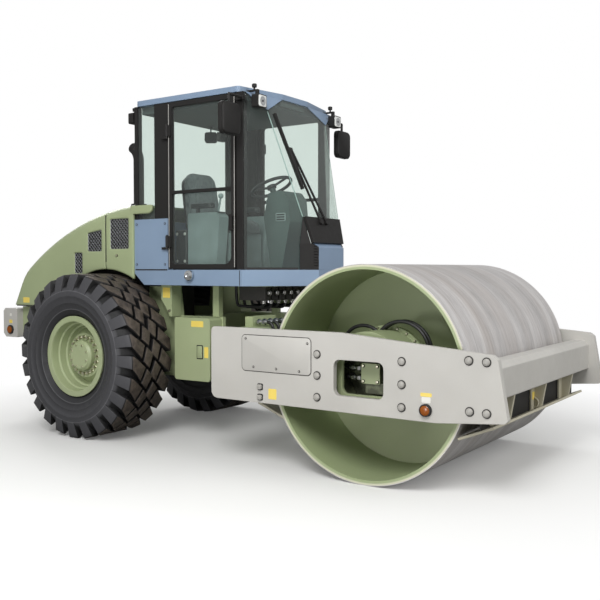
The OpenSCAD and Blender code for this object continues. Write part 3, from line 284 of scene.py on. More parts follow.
# %% Tyre rubber
def tyre_rubber(axle_x, axle_z, tread_r, mid_y, half_w):
    material, tree, shader, place = start("tyre_rubber")
    across, spoke, radius = from_axle(tree, place, axle_x, axle_z)
    side = put(tree, MATH, (across,), operation="ABSOLUTE")
    from_middle = put(tree, MATH, (side, mid_y), operation="SUBTRACT")
    off = put(tree, MATH, (from_middle,), operation="ABSOLUTE")
    inset = put(tree, MATH, (half_w, off), operation="SUBTRACT")
    # a lug's flank is a face that looks along the turn
    normal = put(tree, "ShaderNodeTexCoord", out="Normal")
    outward = put(tree, VECTOR, (spoke,), operation="NORMALIZE")
    around = put(tree, VECTOR, (outward, normal), operation="CROSS_PRODUCT")
    turn = put(tree, SPLIT, (around,), "Y")
    turned = put(tree, MATH, (turn,), operation="ABSOLUTE")
    flank = put(tree, RANGE, (turned, 0.40, 0.80))
    # the crown is high and away from the shoulder
    high = put(tree, RANGE, (radius, tread_r - 0.014, tread_r - 0.005))
    inner = put(tree, RANGE, (inset, 0.045, 0.062))
    crown = put(tree, MATH, (high, inner), operation="MULTIPLY")
    # the lugs' outer faces lean in by a third of their height, and what lies deeper than that is groove
    above = put(tree, MATH, (radius, tread_r - 0.156), operation="SUBTRACT")
    lean = put(tree, MATH, (above, 0.34), operation="MULTIPLY")
    behind = put(tree, MATH, (inset, lean), operation="SUBTRACT")
    deep = put(tree, RANGE, (behind, 0.007, 0.015))
    low = put(tree, MATH, (1.0, high), operation="SUBTRACT")
    hollow = put(tree, MATH, (deep, low), operation="MULTIPLY")
    tread = put(tree, RANGE, (radius, tread_r - 0.152, tread_r - 0.138))
    groove = put(tree, MATH, (hollow, tread), operation="MULTIPLY")
    # a dark line where the lug turns over the shoulder
    past = put(tree, MATH, (inset, 0.055), operation="SUBTRACT")
    gap = put(tree, MATH, (past,), operation="ABSOLUTE")
    line = put(tree, RANGE, (gap, 0.0015, 0.005, 1.0, 0.0))
    outer = put(tree, RANGE, (radius, tread_r - 0.035, tread_r - 0.025))
    shoulder = put(tree, MATH, (line, outer), operation="MULTIPLY")
    # painted shade: the grooves and the lug flanks turn near black, as does the dark line at the shoulder
    groove_flank_shade = put(tree, MATH, (groove, flank), operation="MAXIMUM")
    dark = put(tree, MATH, (groove_flank_shade, shoulder), operation="MAXIMUM")
    # painted shade and highlight: the side wall is darker at the rim and paler towards the bulge
    pale = put(tree, RANGE, (radius, 0.36, 0.60))
    wall = put(tree, MIX, {0: pale, 6: linear("#202022"), 7: linear("#434346")}, MIXED, data_type="RGBA")
    # a painted highlight along each ridge of the side wall
    for rib in (tread_r - 0.326, tread_r - 0.156):
        past = put(tree, MATH, (radius, rib), operation="SUBTRACT")
        gap = put(tree, MATH, (past,), operation="ABSOLUTE")
        rib_highlight = put(tree, RANGE, (gap, 0.001, 0.006, 0.35, 0.0))
        wall = put(tree, MIX, {0: rib_highlight, 6: wall, 7: linear("#7E7E81")}, MIXED, data_type="RGBA")
    earth = put(tree, NOISE, {"Vector": place, "Scale": 1 / (55 * MM), "Detail": 7.0, "Roughness": 0.7})
    caked = put(tree, RANGE, (earth, 0.35, 0.68))
    tops = put(tree, MIX, {0: caked, 6: linear("#352F2A"), 7: linear("#5F554C")}, MIXED, data_type="RGBA")
    worn = put(tree, MIX, {0: crown, 6: wall, 7: tops}, MIXED, data_type="RGBA")
    colour = put(tree, MIX, {0: dark, 6: worn, 7: linear("#0B0B0C")}, MIXED, data_type="RGBA")
    gloss = put(tree, RANGE, (earth, 0.3, 0.7, 0.48, 0.72))
    grain = put(tree, NOISE, {"Vector": place, "Scale": 1 / (5 * MM), "Detail": 3.0})
    bump = put(tree, BUMP, {"Height": grain, "Strength": 0.3, "Distance": 0.4 * MM})
    plug(tree, shader, {"Base Color": colour, "Roughness": gloss, "Normal": bump, "Specular IOR Level": 0.4})
    return material


tyre_lo, tyre_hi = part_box("tyre_left")
TYRE_R = (tyre_hi[2] - tyre_lo[2]) / 2
AXLE_X = (tyre_lo[0] + tyre_hi[0]) / 2
AXLE_Z = (tyre_lo[2] + tyre_hi[2]) / 2
HALF_W = (tyre_hi[1] - tyre_lo[1]) / 2
WHEEL_Y = (tyre_hi[1] + tyre_lo[1]) / 2
tyre_black = tyre_rubber(AXLE_X, AXLE_Z, TYRE_R, WHEEL_Y, HALF_W)
print("tyre radius", round(TYRE_R, 3), "axle at", round(AXLE_X, 3))

# %% [markdown]
# ## The drum
# One turned piece carries two finishes: its rolling face is bare plate, scoured by gravel in rings of grey,
# lilac and brown. The bore keeps its green enamel, and the edge between is painted pale, partly for wear and
# partly as a painted highlight. The distance from the axle tells them apart.

# %% Drum skin
def drum_skin(axle_x, axle_z, drum_r):
    material, tree, shader, place = start("scoured_drum_plate")
    radius = from_axle(tree, place, axle_x, axle_z)[2]
    bare = put(tree, RANGE, (radius, drum_r - 7 * MM, drum_r - 4 * MM))
    # rings of scratches: quick across the width, slow along the turn
    drawn = put(tree, MAPPING, {"Vector": place, "Scale": (0.07, 1.0, 0.07)})
    hair = put(tree, NOISE, {"Vector": drawn, "Scale": 1 / (9 * MM), "Detail": 8.0, "Roughness": 0.75})
    broad = put(tree, MAPPING, {"Vector": place, "Scale": (0.08, 1.0, 0.08)})
    band = put(tree, NOISE, {"Vector": broad, "Scale": 1 / (120 * MM), "Detail": 5.0, "Roughness": 0.6})
    stain = put(tree, NOISE, {"Vector": broad, "Scale": 1 / (230 * MM), "Detail": 5.0})
    rings = put(tree, MATH, (hair, band), operation="ADD")
    level = put(tree, RANGE, (rings, 0.70, 1.30))
    plate = put(tree, "ShaderNodeValToRGB", (level,))
    ramp = plate.node.color_ramp
    ramp.elements[0].color = linear("#A5A19E")
    ramp.elements[1].color = linear("#E6E4E3")
    ramp.elements.new(0.5).color = linear("#C9C6C5")
    brown = put(tree, RANGE, (stain, 0.48, 0.72, 0.0, 0.45))
    tinted = put(tree, MIX, {0: brown, 6: plate, 7: linear("#9B8C80")}, MIXED, data_type="RGBA")
    # the end edge is painted pale, partly worn bare and partly a painted highlight; the bore behind it keeps
    # its green
    worn_and_lit_edge = put(tree, RANGE, (radius, drum_r - 22 * MM, drum_r - 15 * MM))
    bore = put(tree, MIX, {0: worn_and_lit_edge, 6: linear(SAGE_GREEN), 7: linear("#CFCFB6")}, MIXED, data_type="RGBA")
    whole = put(tree, MIX, {0: bare, 6: bore, 7: tinted}, MIXED, data_type="RGBA")
    metallic = put(tree, MATH, (bare, 0.40), operation="MULTIPLY")
    gloss = put(tree, RANGE, (hair, 0.3, 0.7, 0.36, 0.54))
    bump = put(tree, BUMP, {"Height": hair, "Strength": 0.2, "Distance": 0.2 * MM})
    plug(tree, shader, {"Base Color": whole, "Metallic": metallic, "Roughness": gloss, "Normal": bump})
    return material


drum_lo, drum_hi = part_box("drum_shell")
DRUM_X = (drum_lo[0] + drum_hi[0]) / 2
DRUM_Z = (drum_lo[2] + drum_hi[2]) / 2
DRUM_R = (drum_hi[2] - drum_lo[2]) / 2
drum_steel = drum_skin(DRUM_X, DRUM_Z, DRUM_R)
print("drum radius", round(DRUM_R, 3))

# %% [markdown]
# ## Painting the CAD pieces
# The record names a material slot for each CAD piece. A few pieces show another finish in the photograph
# than their slot's usual one, so those are named one by one. The drum carriers get painted shade behind
# the motor: their paint turns dark in blotches deep inside and low down.

# %% Carriers with painted shade
def with_painted_shade(paint, name, reach_y, reach_z):
    material = paint.copy()
    material.name = name
    tree = material.node_tree
    shader = tree.nodes["Principled BSDF"]
    place = put(tree, "ShaderNodeTexCoord", out="Object")
    apart = put(tree, SPLIT, (place,)).node.outputs
    side = put(tree, MATH, (apart["Y"],), operation="ABSOLUTE")
    inward = put(tree, RANGE, (side, reach_y - 0.012, reach_y - 0.004, 1.0, 0.0))
    below = put(tree, RANGE, (apart["Z"], reach_z, reach_z + 0.06, 1.0, 0.0))
    # painted shade: dark in blotches inboard of the motor's face and below its top
    hidden = put(tree, MATH, (inward, below), operation="MULTIPLY")
    blotch = put(tree, NOISE, {"Vector": place, "Scale": 1 / (90 * MM), "Detail": 5.0})
    shade_blotches = put(tree, RANGE, (blotch, 0.25, 0.55, 0.35, 0.88))
    amount = put(tree, MATH, (hidden, shade_blotches), operation="MULTIPLY")
    clean = shader.inputs["Base Color"].links[0].from_socket
    darkened = put(tree, MIX, {0: amount, 6: clean, 7: linear("#29271F")}, MIXED, data_type="RGBA")
    plug(tree, shader, {"Base Color": darkened})
    return material


MOTOR_Y = 1.000
shaded_green = with_painted_shade(green, "green_enamel_painted_shade", MOTOR_Y, 0.93)
print("stained paint", shaded_green.name)

# %% Assign finishes to CAD pieces
finish_of_slot = {"green_paint": green, "grey_paint": grey, "blue_paint": blue, "black_paint": black,
                  "drum_steel": drum_steel, "steel": steel, "chrome": chrome, "axle_iron": iron,
                  "rubber": rubber, "tyre": tyre_black, "glass": glass, "fabric": dark_trim, "trim": trim,
                  "amber_lens": amber}
slot_of_node = {row["node"]: row["material_slot"] for row in frame["record"]["subparts"]}
own_finish = {"headliner": roof_lining, "seat_base": light_trim, "steering_wheel": dark_trim,
              "console": light_trim, "hoses": hose_rubber, "scrapers": sand, "carrier_right": shaded_green,
              "carrier_left": shaded_green,
              "hood": hood_green, "shroud": hood_green}
for name, obj in nodes.items():
    paint = own_finish.get(name, finish_of_slot[slot_of_node[name]])
    obj.data.materials.clear()
    obj.data.materials.append(paint)
print("painted", len(nodes), "CAD pieces")

# %% [markdown]
# ## Tools for small parts
# Bolts, signs and lenses are drawn once at the origin, lying on the XY plane and facing up Z. A copy is
# then stamped wherever the machine has one, turned to face out of the panel that carries it.

# %% Stamps and pieces
HANDS = (-1, 1)
SIDES = ((-1, "right"), (1, "left"))


def facing(place, outward):
    return Matrix.Translation(place) @ Vector(outward).to_track_quat("Z", "Y").to_matrix().to_4x4()


def on_flanks(x, y, z):
    return [facing((x, hand * y, z), (0, hand, 0)) for hand in HANDS]


def upright_pair(x, y, z):
    return [Matrix.Translation((x, hand * y, z)) for hand in HANDS]


def stamp(target, master, matrix):
    copy = master.copy()
    copy.transform(matrix)
    mesh = bpy.data.meshes.new("stamp")
    copy.to_mesh(mesh)
    copy.free()
    target.from_mesh(mesh)
    bpy.data.meshes.remove(mesh)


def lay(target, shape, *places):
    for place in places or (Matrix(),):
        stamp(target, shape, place)
    shape.free()


def piece(name, bm, body, slot, *finishes, sharp=35):
    mesh = bpy.data.meshes.new(name)
    bm.to_mesh(mesh)
    bm.free()
    mesh.polygons.foreach_set("use_smooth", [True] * len(mesh.polygons))
    mesh.set_sharp_from_angle(angle=radians(sharp))
    obj = bpy.data.objects.new(name, mesh)
    for finish in finishes:
        mesh.materials.append(finish)
    scene.collection.objects.link(obj)
    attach(obj, body)
    print(name, len(mesh.polygons), "faces")
    return obj

# %% Turned and flat shapes
def turning(points, steps, index=0, about=(0, 0, 1)):
    bm = bmesh.new()
    ring = [bm.verts.new(p) for p in points]
    edges = [bm.edges.new(pair) for pair in zip(ring, ring[1:])]
    bmesh.ops.spin(bm, geom=ring + edges, cent=(0, 0, 0), axis=about, angle=2 * pi, steps=steps,
                   use_merge=True)
    bmesh.ops.remove_doubles(bm, verts=bm.verts, dist=1e-5)
    bmesh.ops.recalc_face_normals(bm, faces=bm.faces)
    for face in bm.faces:
        face.material_index = index
    return bm


def rounded_plate(width, height, thick, corner, edge, index=0):
    bm = bmesh.new()
    bmesh.ops.create_grid(bm, x_segments=1, y_segments=1, size=0.5)
    bmesh.ops.scale(bm, vec=(width, height, 1), verts=bm.verts)
    bmesh.ops.bevel(bm, geom=bm.verts[:], offset=corner, segments=6, profile=0.5, affect="VERTICES",
                    material=-1)
    up = bmesh.ops.extrude_face_region(bm, geom=bm.faces[:])
    top = [v for v in up["geom"] if isinstance(v, bmesh.types.BMVert)]
    bmesh.ops.translate(bm, vec=(0, 0, thick), verts=top)
    bmesh.ops.recalc_face_normals(bm, faces=bm.faces)
    if edge:
        rim = [e for e in bm.edges if all(v.co.z > thick * 0.9 for v in e.verts)]
        bmesh.ops.bevel(bm, geom=rim, offset=edge, segments=2, profile=0.5, affect="EDGES", material=-1)
    for face in bm.faces:
        face.material_index = index
    return bm

# %% [markdown]
# A hose is a smooth curve with a round section, turned into a mesh and added to the piece that holds its
# ends.

# %% Hoses
def evaluated_mesh(obj):
    return bpy.data.meshes.new_from_object(obj.evaluated_get(bpy.context.evaluated_depsgraph_get()))


def hose(target, points, radius, index=0):
    curve = bpy.data.curves.new("hose", "CURVE")
    curve.dimensions = "3D"
    curve.bevel_depth = radius
    curve.bevel_resolution = 3
    curve.use_fill_caps = True
    spline = curve.splines.new("NURBS")
    spline.points.add(len(points) - 1)
    for spot, point in zip(spline.points, points):
        spot.co = (*point, 1.0)
    spline.use_endpoint_u = True
    spline.order_u = 4
    spline.resolution_u = 5
    obj = bpy.data.objects.new("hose", curve)
    scene.collection.objects.link(obj)
    mesh = evaluated_mesh(obj)
    for face in mesh.polygons:
        face.material_index = index
    target.from_mesh(mesh)
    bpy.data.objects.remove(obj)
    bpy.data.curves.remove(curve)
    bpy.data.meshes.remove(mesh)

# %% Bolts
def washer(inner, outer, steps, index):
    outline = [(inner, 0, 0), (outer, 0, 0), (outer, 0, 0.003), (outer - 0.002, 0, 0.005), (inner, 0, 0.005)]
    return turning(outline, steps, index)


def hex_bolt(across, tall, washer_r, index=0, washer_index=1):
    bm = bmesh.new()
    corner_r = across * 0.577
    made = bmesh.ops.create_cone(bm, cap_ends=True, segments=6, radius1=corner_r, radius2=corner_r,
                                 depth=tall)
    bmesh.ops.translate(bm, vec=(0, 0, tall / 2 + 0.004), verts=made["verts"])
    top = [e for e in bm.edges if all(v.co.z > tall * 0.9 for v in e.verts)]
    bmesh.ops.bevel(bm, geom=top, offset=across * 0.07, segments=2, profile=0.5, affect="EDGES", material=-1)
    for face in bm.faces:
        face.material_index = index
    lay(bm, washer(across * 0.5, washer_r, 24, washer_index))
    return bm


def dome_bolt(head_r, ring_r, tall, index=0):
    bm = washer(head_r * 0.9, ring_r, 28, 1)
    lay(bm, turning([(head_r, 0, 0.002), (head_r, 0, tall * 0.45), (head_r * 0.93, 0, tall * 0.72),
                     (head_r * 0.70, 0, tall * 0.93), (head_r * 0.38, 0, tall), (0, 0, tall)], 28, index))
    return bm

# %% [markdown]
# ## Tyres
# A soil tyre has a round side wall with a few fine rings, long lugs that run down over each shoulder, and
# short blocks between them in the middle. The carcass is one profile spun round the axle. Each lug starts
# as a cube cut into stations. Its edges are softened, and each station is then laid on the lug's own
# outline and round the tyre.

# %% Tyre outlines
LUGS = 24
PITCH = 2 * pi / LUGS
END_SLANT = 0.046
FLOOR_R = TYRE_R - 0.046
# radius and distance in from the widest point, from the bead to the groove floor
carcass = [(0.336, 0.100), (0.352, 0.094), (0.376, 0.082), (0.386, 0.064), (0.394, 0.055), (0.430, 0.039),
           (0.433, 0.035), (0.438, 0.035), (0.441, 0.036), (0.490, 0.019), (0.493, 0.0155), (0.499, 0.0155),
           (0.502, 0.0165), (0.548, 0.006), (0.552, 0.0025), (0.562, 0.0015), (0.566, 0.004), (0.598, 0.002),
           (0.606, 0.005), (0.630, 0.018), (0.660, 0.040), (0.690, 0.072), (FLOOR_R, 0.110), (FLOOR_R, 0.200)]
# stations of a lug: top radius and inset, foot radius and inset, turn in pitches
shoulder_lug = [(0.604, 0.0015, 0.598, 0.020, 0.02), (0.660, 0.017, 0.640, 0.050, 0.03),
                (0.712, 0.036, 0.680, 0.085, 0.05), (0.749, 0.051, 0.695, 0.110, 0.07),
                (0.7585, 0.062, 0.700, 0.120, 0.09), (0.7592, 0.130, 0.700, 0.135, 0.36),
                (0.7595, 0.190, 0.700, 0.190, 0.64)]
middle_block = [(0.7595, 0.214, 0.700, 0.214, 0.76), (0.7595, 0.249, 0.700, 0.249, 0.92),
                (0.7595, 0.284, 0.700, 0.284, 1.08)]
print(LUGS, "lugs to each half of the tread")

# %% Tread lugs
def tread_lug(stations, wide, first_slant):
    block = bmesh.new()
    bmesh.ops.create_cube(block, size=1)
    along = [e for e in block.edges if abs((e.verts[0].co - e.verts[1].co).y) > 0.5]
    bmesh.ops.subdivide_edges(block, edges=along, cuts=len(stations) - 2, use_grid_fill=True)
    crest = [e for e in block.edges if all(v.co.z > 0.4 for v in e.verts) and len(e.link_faces) == 2
             and e.calc_face_angle() > 1.0]
    bmesh.ops.bevel(block, geom=crest, offset=0.05, segments=2, profile=0.5, affect="EDGES", material=-1)
    for v in block.verts:
        t = min(max(v.co.y + 0.5, 0.0), 1.0) * (len(stations) - 1)
        low = min(int(t), len(stations) - 2)
        near, far = stations[low], stations[low + 1]
        top_r, top_in, foot_r, foot_in, turn = [a + (b - a) * (t - low) for a, b in zip(near, far)]
        rise = v.co.z + 0.5
        r = foot_r + (top_r - foot_r) * rise
        y = HALF_W - (foot_in + (top_in - foot_in) * rise)
        # the inner ends are cut square to the lug, which runs aslant
        slant = first_slant + (1 - first_slant) * min(max(v.co.y + 0.5, 0.0), 1.0) ** 3
        y += END_SLANT * slant * v.co.x
        arc = (turn + v.co.x * (wide + 0.12 * (1 - rise))) * PITCH
        v.co = (r * sin(arc), y, r * cos(arc))
    bmesh.ops.recalc_face_normals(block, faces=block.faces)
    return block

# %% Tyres
for hand, word in SIDES:
    half = [(r, HALF_W - inset) for r, inset in carcass]
    outline = half + [(r, -y) for r, y in reversed(half)] + half[:1]
    bm = turning([(r, y, 0) for r, y in outline], 144, about=(0, 1, 0))
    for stations, wide, first_slant in ((shoulder_lug, 0.58, 0.0), (middle_block, 0.62, 1.0)):
        lug = tread_lug(stations, wide, first_slant)
        for step in range(LUGS):
            stamp(bm, lug, Matrix.Rotation(step * PITCH, 4, "Y"))
            # the other half of the tread is the same lug turned end for end, half a pitch on
            stamp(bm, lug, Matrix.Rotation((step + 0.5) * PITCH, 4, "Y") @ Matrix.Rotation(pi, 4, "Z"))
        lug.free()
    bm.transform(Matrix.Translation((AXLE_X, hand * WHEEL_Y, AXLE_Z)) @ Matrix.Scale(hand, 4, (0, 1, 0)))
    if hand < 0:
        bmesh.ops.reverse_faces(bm, faces=bm.faces)
    lugged = piece("lugged_tyre_" + word, bm, "wheel_" + word, "tyre", tyre_black, sharp=40)
    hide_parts("tyre_" + word)

# %% [markdown]
# ## Wheel nuts
# The rim is bolted to the axle by a ring of plated nuts round the hub, deep in its dish, and the hub's cap
# has a few small bolts. One nut with its washer is drawn, then stamped round the axle.

# %% Wheel nuts
RIM_DISC_Y = 0.985
HUB_FACE_Y = 1.052


def bolt_circle(count, radius, centre_x, centre_z, y, hand, size, first=0.0):
    places = []
    for step in range(count):
        arc = 2 * pi * (step + first) / count
        spot = (centre_x + radius * sin(arc), hand * y, centre_z + radius * cos(arc))
        places.append(facing(spot, (0, hand, 0)) @ Matrix.Scale(size, 4))
    return places


for hand, word in SIDES:
    bm = bmesh.new()
    lay(bm, hex_bolt(0.023, 0.024, 0.015, 0, 0),
        *bolt_circle(20, 0.172, AXLE_X, AXLE_Z, RIM_DISC_Y, hand, 1.0),
        *bolt_circle(8, 0.104, AXLE_X, AXLE_Z, HUB_FACE_Y, hand, 0.45, 0.5))
    piece("wheel_nuts_" + word, bm, "wheel_" + word, "steel", zinc)

# %% [markdown]
# ## Front frame fittings
# Each side plate shows two rows of round-headed bolts that hold the rubber buffers, four more for the front
# beam, a screwed cover and a few blank signs. A head is a turned dome in a dark washer, stamped onto the
# plate.

# %% Side plate bolts
PLATE_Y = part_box("side_plate_left")[1][1]
# forward of the drum's axle and above the floor
buffer_bolts = [(-0.331, 0.940), (-0.331, 0.784), (-0.331, 0.624),
                (0.360, 0.930), (0.360, 0.771), (0.360, 0.613)]
corner_bolts = [(0.848, 0.966), (0.970, 0.963), (0.856, 0.632), (0.973, 0.629)]


def on_plate(x, z, hand, proud=0.0):
    return facing((DRUM_X + x, hand * (PLATE_Y + proud), z), (0, hand, 0))


for hand, word in SIDES:
    bm = bmesh.new()
    lay(bm, dome_bolt(0.0245, 0.032, 0.020), *[on_plate(x, z, hand) for x, z in buffer_bolts + corner_bolts])
    piece("plate_bolts_" + word, bm, "front_unit", "grey_paint", bolt_grey, dark_ring)

# %% [markdown]
# The cover over the hose ends is a thin rounded plate in a dark joint line, with two screws above and three
# below. Signs stay blank: one yellow square, and a yellow strip over a white one above the side lamp.

# %% Covers, signs and square lugs
COVER_X, COVER_Z = -0.7055, 0.9155
cover_screws = [(-0.281, 0.112), (0.293, 0.100), (-0.207, -0.105), (0.009, -0.108), (0.219, -0.112)]
# width, height, place and finish of each sign
plate_signs = [(0.075, 0.080, -0.735, 0.612, 0), (0.084, 0.026, 0.544, 0.716, 0),
               (0.066, 0.040, 0.544, 0.681, 1)]
for hand, word in SIDES:
    bm = bmesh.new()
    lay(bm, rounded_plate(0.649, 0.285, 0.0015, 0.036, 0, 1), on_plate(COVER_X, COVER_Z, hand))
    lay(bm, rounded_plate(0.638, 0.274, 0.006, 0.031, 0.002), on_plate(COVER_X, COVER_Z, hand))
    lay(bm, dome_bolt(0.0065, 0.0095, 0.004),
        *[on_plate(COVER_X + dx, COVER_Z + dz, hand, 0.005) for dx, dz in cover_screws])
    piece("service_cover_" + word, bm, "front_unit", "grey_paint", grey, dark_ring)

    bm = bmesh.new()
    for wide, high, x, z, index in plate_signs:
        lay(bm, rounded_plate(wide, high, 0.0015, 0.008, 0, index), on_plate(x, z, hand))
    piece("plate_signs_" + word, bm, "front_unit", "grey_paint", yellow_sign, white_sign)

    bm = bmesh.new()
    lug_places = [on_plate(-0.851, z, hand) for z in (0.660, 0.580)]
    lay(bm, rounded_plate(0.052, 0.052, 0.004, 0.012, 0), *lug_places)
    lay(bm, rounded_plate(0.036, 0.036, 0.024, 0.009, 0.004, 1), *lug_places)
    piece("square_lugs_" + word, bm, "front_unit", "grey_paint", rubber, bolt_grey)

# %% [markdown]
# The side lamps are turned: an amber lens that bulges out of a black rubber rim. One piece stands for both
# CAD lamps.

# %% Side lamps
bm = bmesh.new()
lamp_places = [on_plate(0.544, 0.612, hand) for hand in HANDS]
lay(bm, turning([(0, 0, 0), (0.0435, 0, 0), (0.0435, 0, 0.020), (0.041, 0, 0.026), (0.036, 0, 0.026),
                 (0.0345, 0, 0.022)], 40), *lamp_places)
lay(bm, turning([(0.0345, 0, 0.022), (0.030, 0, 0.0255), (0.018, 0, 0.0285), (0, 0, 0.0295)], 40, 1),
    *lamp_places)
bmesh.ops.remove_doubles(bm, verts=bm.verts, dist=1e-5)
side_lamps = piece("side_lamp_lenses", bm, "front_unit", "amber_lens", rubber, amber)
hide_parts("side_lamps")

# %% [markdown]
# Inside the service window sits the drum's motor. It is held by four bolts, and the drive cup behind it by
# a ring of smaller ones.

# %% Drive bolts
CUP_FLANGE_Y = 0.700
CUP_BOLT_R = 0.325
for hand, word in SIDES:
    bm = bmesh.new()
    motor_bolts = [facing((DRUM_X + x, hand * MOTOR_Y, z), (0, hand, 0)) for x in (-0.036, 0.081)
                   for z in (0.860, 0.747)]
    lay(bm, hex_bolt(0.019, 0.012, 0.013), *motor_bolts,
        *bolt_circle(24, CUP_BOLT_R, DRUM_X, DRUM_Z, CUP_FLANGE_Y, hand, 0.8))
    piece("drive_bolts_" + word, bm, "front_unit", "steel", zinc, dark_ring)

# %% [markdown]
# A blank yellow tag hangs on the middle arm of the front scraper. Two of its arms carry a pair of nuts and
# a bent rod as a catch.

# %% Scraper tag and hooks
ARM_X = DRUM_X + 0.9025
bm = bmesh.new()
lay(bm, rounded_plate(0.050, 0.058, 0.0015, 0.006, 0), facing((ARM_X, -0.040, 0.600), (1, 0, 0)))
piece("scraper_tag", bm, "front_unit", "grey_paint", yellow_sign)

# distance forward of the drum's axle and height of the hook's points
hook_route = [(0.890, 0.585), (0.926, 0.580), (0.940, 0.545), (0.926, 0.510), (0.902, 0.505), (0.895, 0.522)]
bm = bmesh.new()
for y in (-0.95, -0.05):
    lay(bm, hex_bolt(0.016, 0.010, 0.011, 1, 1),
        *[facing((ARM_X, y + dy, 0.668), (1, 0, 0)) for dy in (-0.020, 0.025)])
    hose(bm, [(DRUM_X + x, y + 0.03, z) for x, z in hook_route], 0.007)
piece("scraper_hooks", bm, "front_unit", "grey_paint", sand, zinc)

# %% [markdown]
# ## Valve bank
# Under the cab floor hangs the hydraulic valve bank: a row of cast sections on a tray, each with a steel
# cap in front and a hose that leaves below, bends back and climbs into the cab floor. Both hose ends are
# clamped to the rear unit, and a splash plate closes the far side.

# %% Valve bank under the cab
BANK_X = 0.165
BANK_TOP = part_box("cab_base")[0][2]
SECTIONS = 6
SECTION_PITCH = 0.110
bm = bmesh.new()
rows = [(row - (SECTIONS - 1) / 2) * SECTION_PITCH for row in range(SECTIONS)]
lay(bm, rounded_plate(0.46, 0.68, 0.010, 0.020, 0.002), Matrix.Translation((BANK_X, 0, BANK_TOP - 0.010)))
lay(bm, rounded_plate(0.300, 0.088, 0.125, 0.014, 0.005, 1),
    *[Matrix.Translation((BANK_X, y, BANK_TOP - 0.135)) for y in rows])
lay(bm, hex_bolt(0.040, 0.022, 0.028, 2, 1), *[facing((0.315, y, BANK_TOP - 0.068), (1, 0, 0)) for y in rows])
lay(bm, turning([(0.012, 0, 0), (0.022, 0, 0.002), (0.022, 0, 0.014), (0.017, 0, 0.018), (0.017, 0, 0.030),
                 (0.012, 0, 0.030)], 20, 2),
    *[facing((0.265, y, BANK_TOP - 0.135), (0, 0, -1)) for y in rows])
for row, y in enumerate(rows):
    low = BANK_TOP - 0.192 - 0.012 * (row % 2)
    hose(bm, [(0.265, y, BANK_TOP - 0.150), (0.265, y, low), (0.205, y, low - 0.004), (0.080, y + 0.010, low),
              (-0.010, y, low), (-0.046, y, low + 0.010), (-0.050, y, BANK_TOP - 0.060),
              (-0.050, y, BANK_TOP)], 0.0135, 3)
lay(bm, rounded_plate(0.440, 0.205, 0.008, 0.020, 0.002),
    facing((BANK_X, 0.330, BANK_TOP - 0.1025), (0, 1, 0)))
piece("valve_bank", bm, "rear_unit", "axle_iron", green, iron, steel, hose_rubber)

# %% [markdown]
# ## Cab fittings
# The cab's sheet metal and glass come from the CAD model. Round them sit thin things: rubber seals and
# joint lines, lamp glass, mirror glass and a few screws. A flat strip between two points is enough for the
# lines, so one helper lays a rounded plate along them.

# %% Strips and the cab's edges
def strip(target, a, b, wide, thick, outward, index=0):
    a, b = Vector(a), Vector(b)
    along = (b - a).normalized()
    across = Vector(outward).cross(along).normalized()
    turn = Matrix((along, across, along.cross(across))).transposed().to_4x4()
    bar = rounded_plate((b - a).length, wide, thick, wide * 0.45, 0, index)
    lay(target, bar, Matrix.Translation((a + b) / 2) @ turn)


base_lo, base_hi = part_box("cab_base")
CAB_BACK = base_lo[0]
CAB_HALF = base_hi[1]
SILL_LOW = base_lo[2]
SILL = base_hi[2]
CAB_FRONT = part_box("cab_posts")[1][0]
PANEL_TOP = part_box("cab_side_panels")[1][2]
DOOR_BAR = 0.042
pane_lo, pane_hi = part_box("door_glass_right")
DOOR_BACK, DOOR_FRONT = pane_lo[0] - DOOR_BAR, pane_hi[0] + DOOR_BAR
DOOR_LOW, DOOR_TOP = pane_lo[2] - DOOR_BAR, pane_hi[2] + DOOR_BAR
print("cab from", round(CAB_BACK, 3), "to", round(CAB_FRONT, 3))

# %% Seals, door edges and panel screws
for hand, word in SIDES:
    side_out = (0, hand, 0)
    side_y = hand * CAB_HALF
    wedge_out = (0.73, hand * 0.68, 0.0)
    joint_x = CAB_FRONT - 0.027
    bm = bmesh.new()
    # the angled pane stands in a rubber channel on the sill
    strip(bm, (CAB_FRONT + 0.012, hand * 0.668, SILL + 0.010),
          (CAB_FRONT + 0.322, hand * 0.334, SILL + 0.010), 0.020, 0.006, wedge_out)
    # a pale strip where the pane meets the windscreen: the pane's edge, partly a painted highlight
    strip(bm, (CAB_FRONT + 0.092, hand * 0.460, 2.915), (CAB_FRONT + 0.342, hand * 0.291, 2.015),
          0.008, 0.003, wedge_out, 1)
    # joint lines on the sill and below the side panel
    strip(bm, (joint_x, side_y, SILL_LOW + 0.004), (joint_x, side_y, SILL - 0.004), 0.007, 0.001, side_out)
    strip(bm, (CAB_BACK + 0.010, side_y, SILL), (DOOR_BACK - 0.016, side_y, SILL), 0.012, 0.0015, side_out)
    piece("cab_seals_" + word, bm, "rear_unit", "rubber", rubber, glass_edge_highlight)

    # painted highlight: a pale grey strip along the two upright edges of the door
    bm = bmesh.new()
    for x in (DOOR_BACK + 0.006, DOOR_FRONT - 0.006):
        strip(bm, (x, side_y, DOOR_LOW + 0.014), (x, side_y, DOOR_TOP - 0.014), 0.007, 0.0012, side_out)
    piece("door_edges_" + word, bm, "door_" + word, "grey_paint", grey)

    bm = bmesh.new()
    screws = [facing((x, side_y, z), side_out) for x in (CAB_BACK + 0.030, DOOR_BACK - 0.045)
              for z in (SILL + 0.050, PANEL_TOP - 0.045)]
    lay(bm, dome_bolt(0.008, 0.011, 0.005), *screws)
    piece("panel_screws_" + word, bm, "rear_unit", "blue_paint", blue, dark_ring)

# %% [markdown]
# The four work lamps are black boxes with a ribbed glass, a bright bowl behind it and a dark bulb spot. The
# mirrors get silvered glass on their rear faces and a bulged shell in front.

# %% Lamp glass and mirrors
lamp_lo, lamp_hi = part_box("work_lamps")
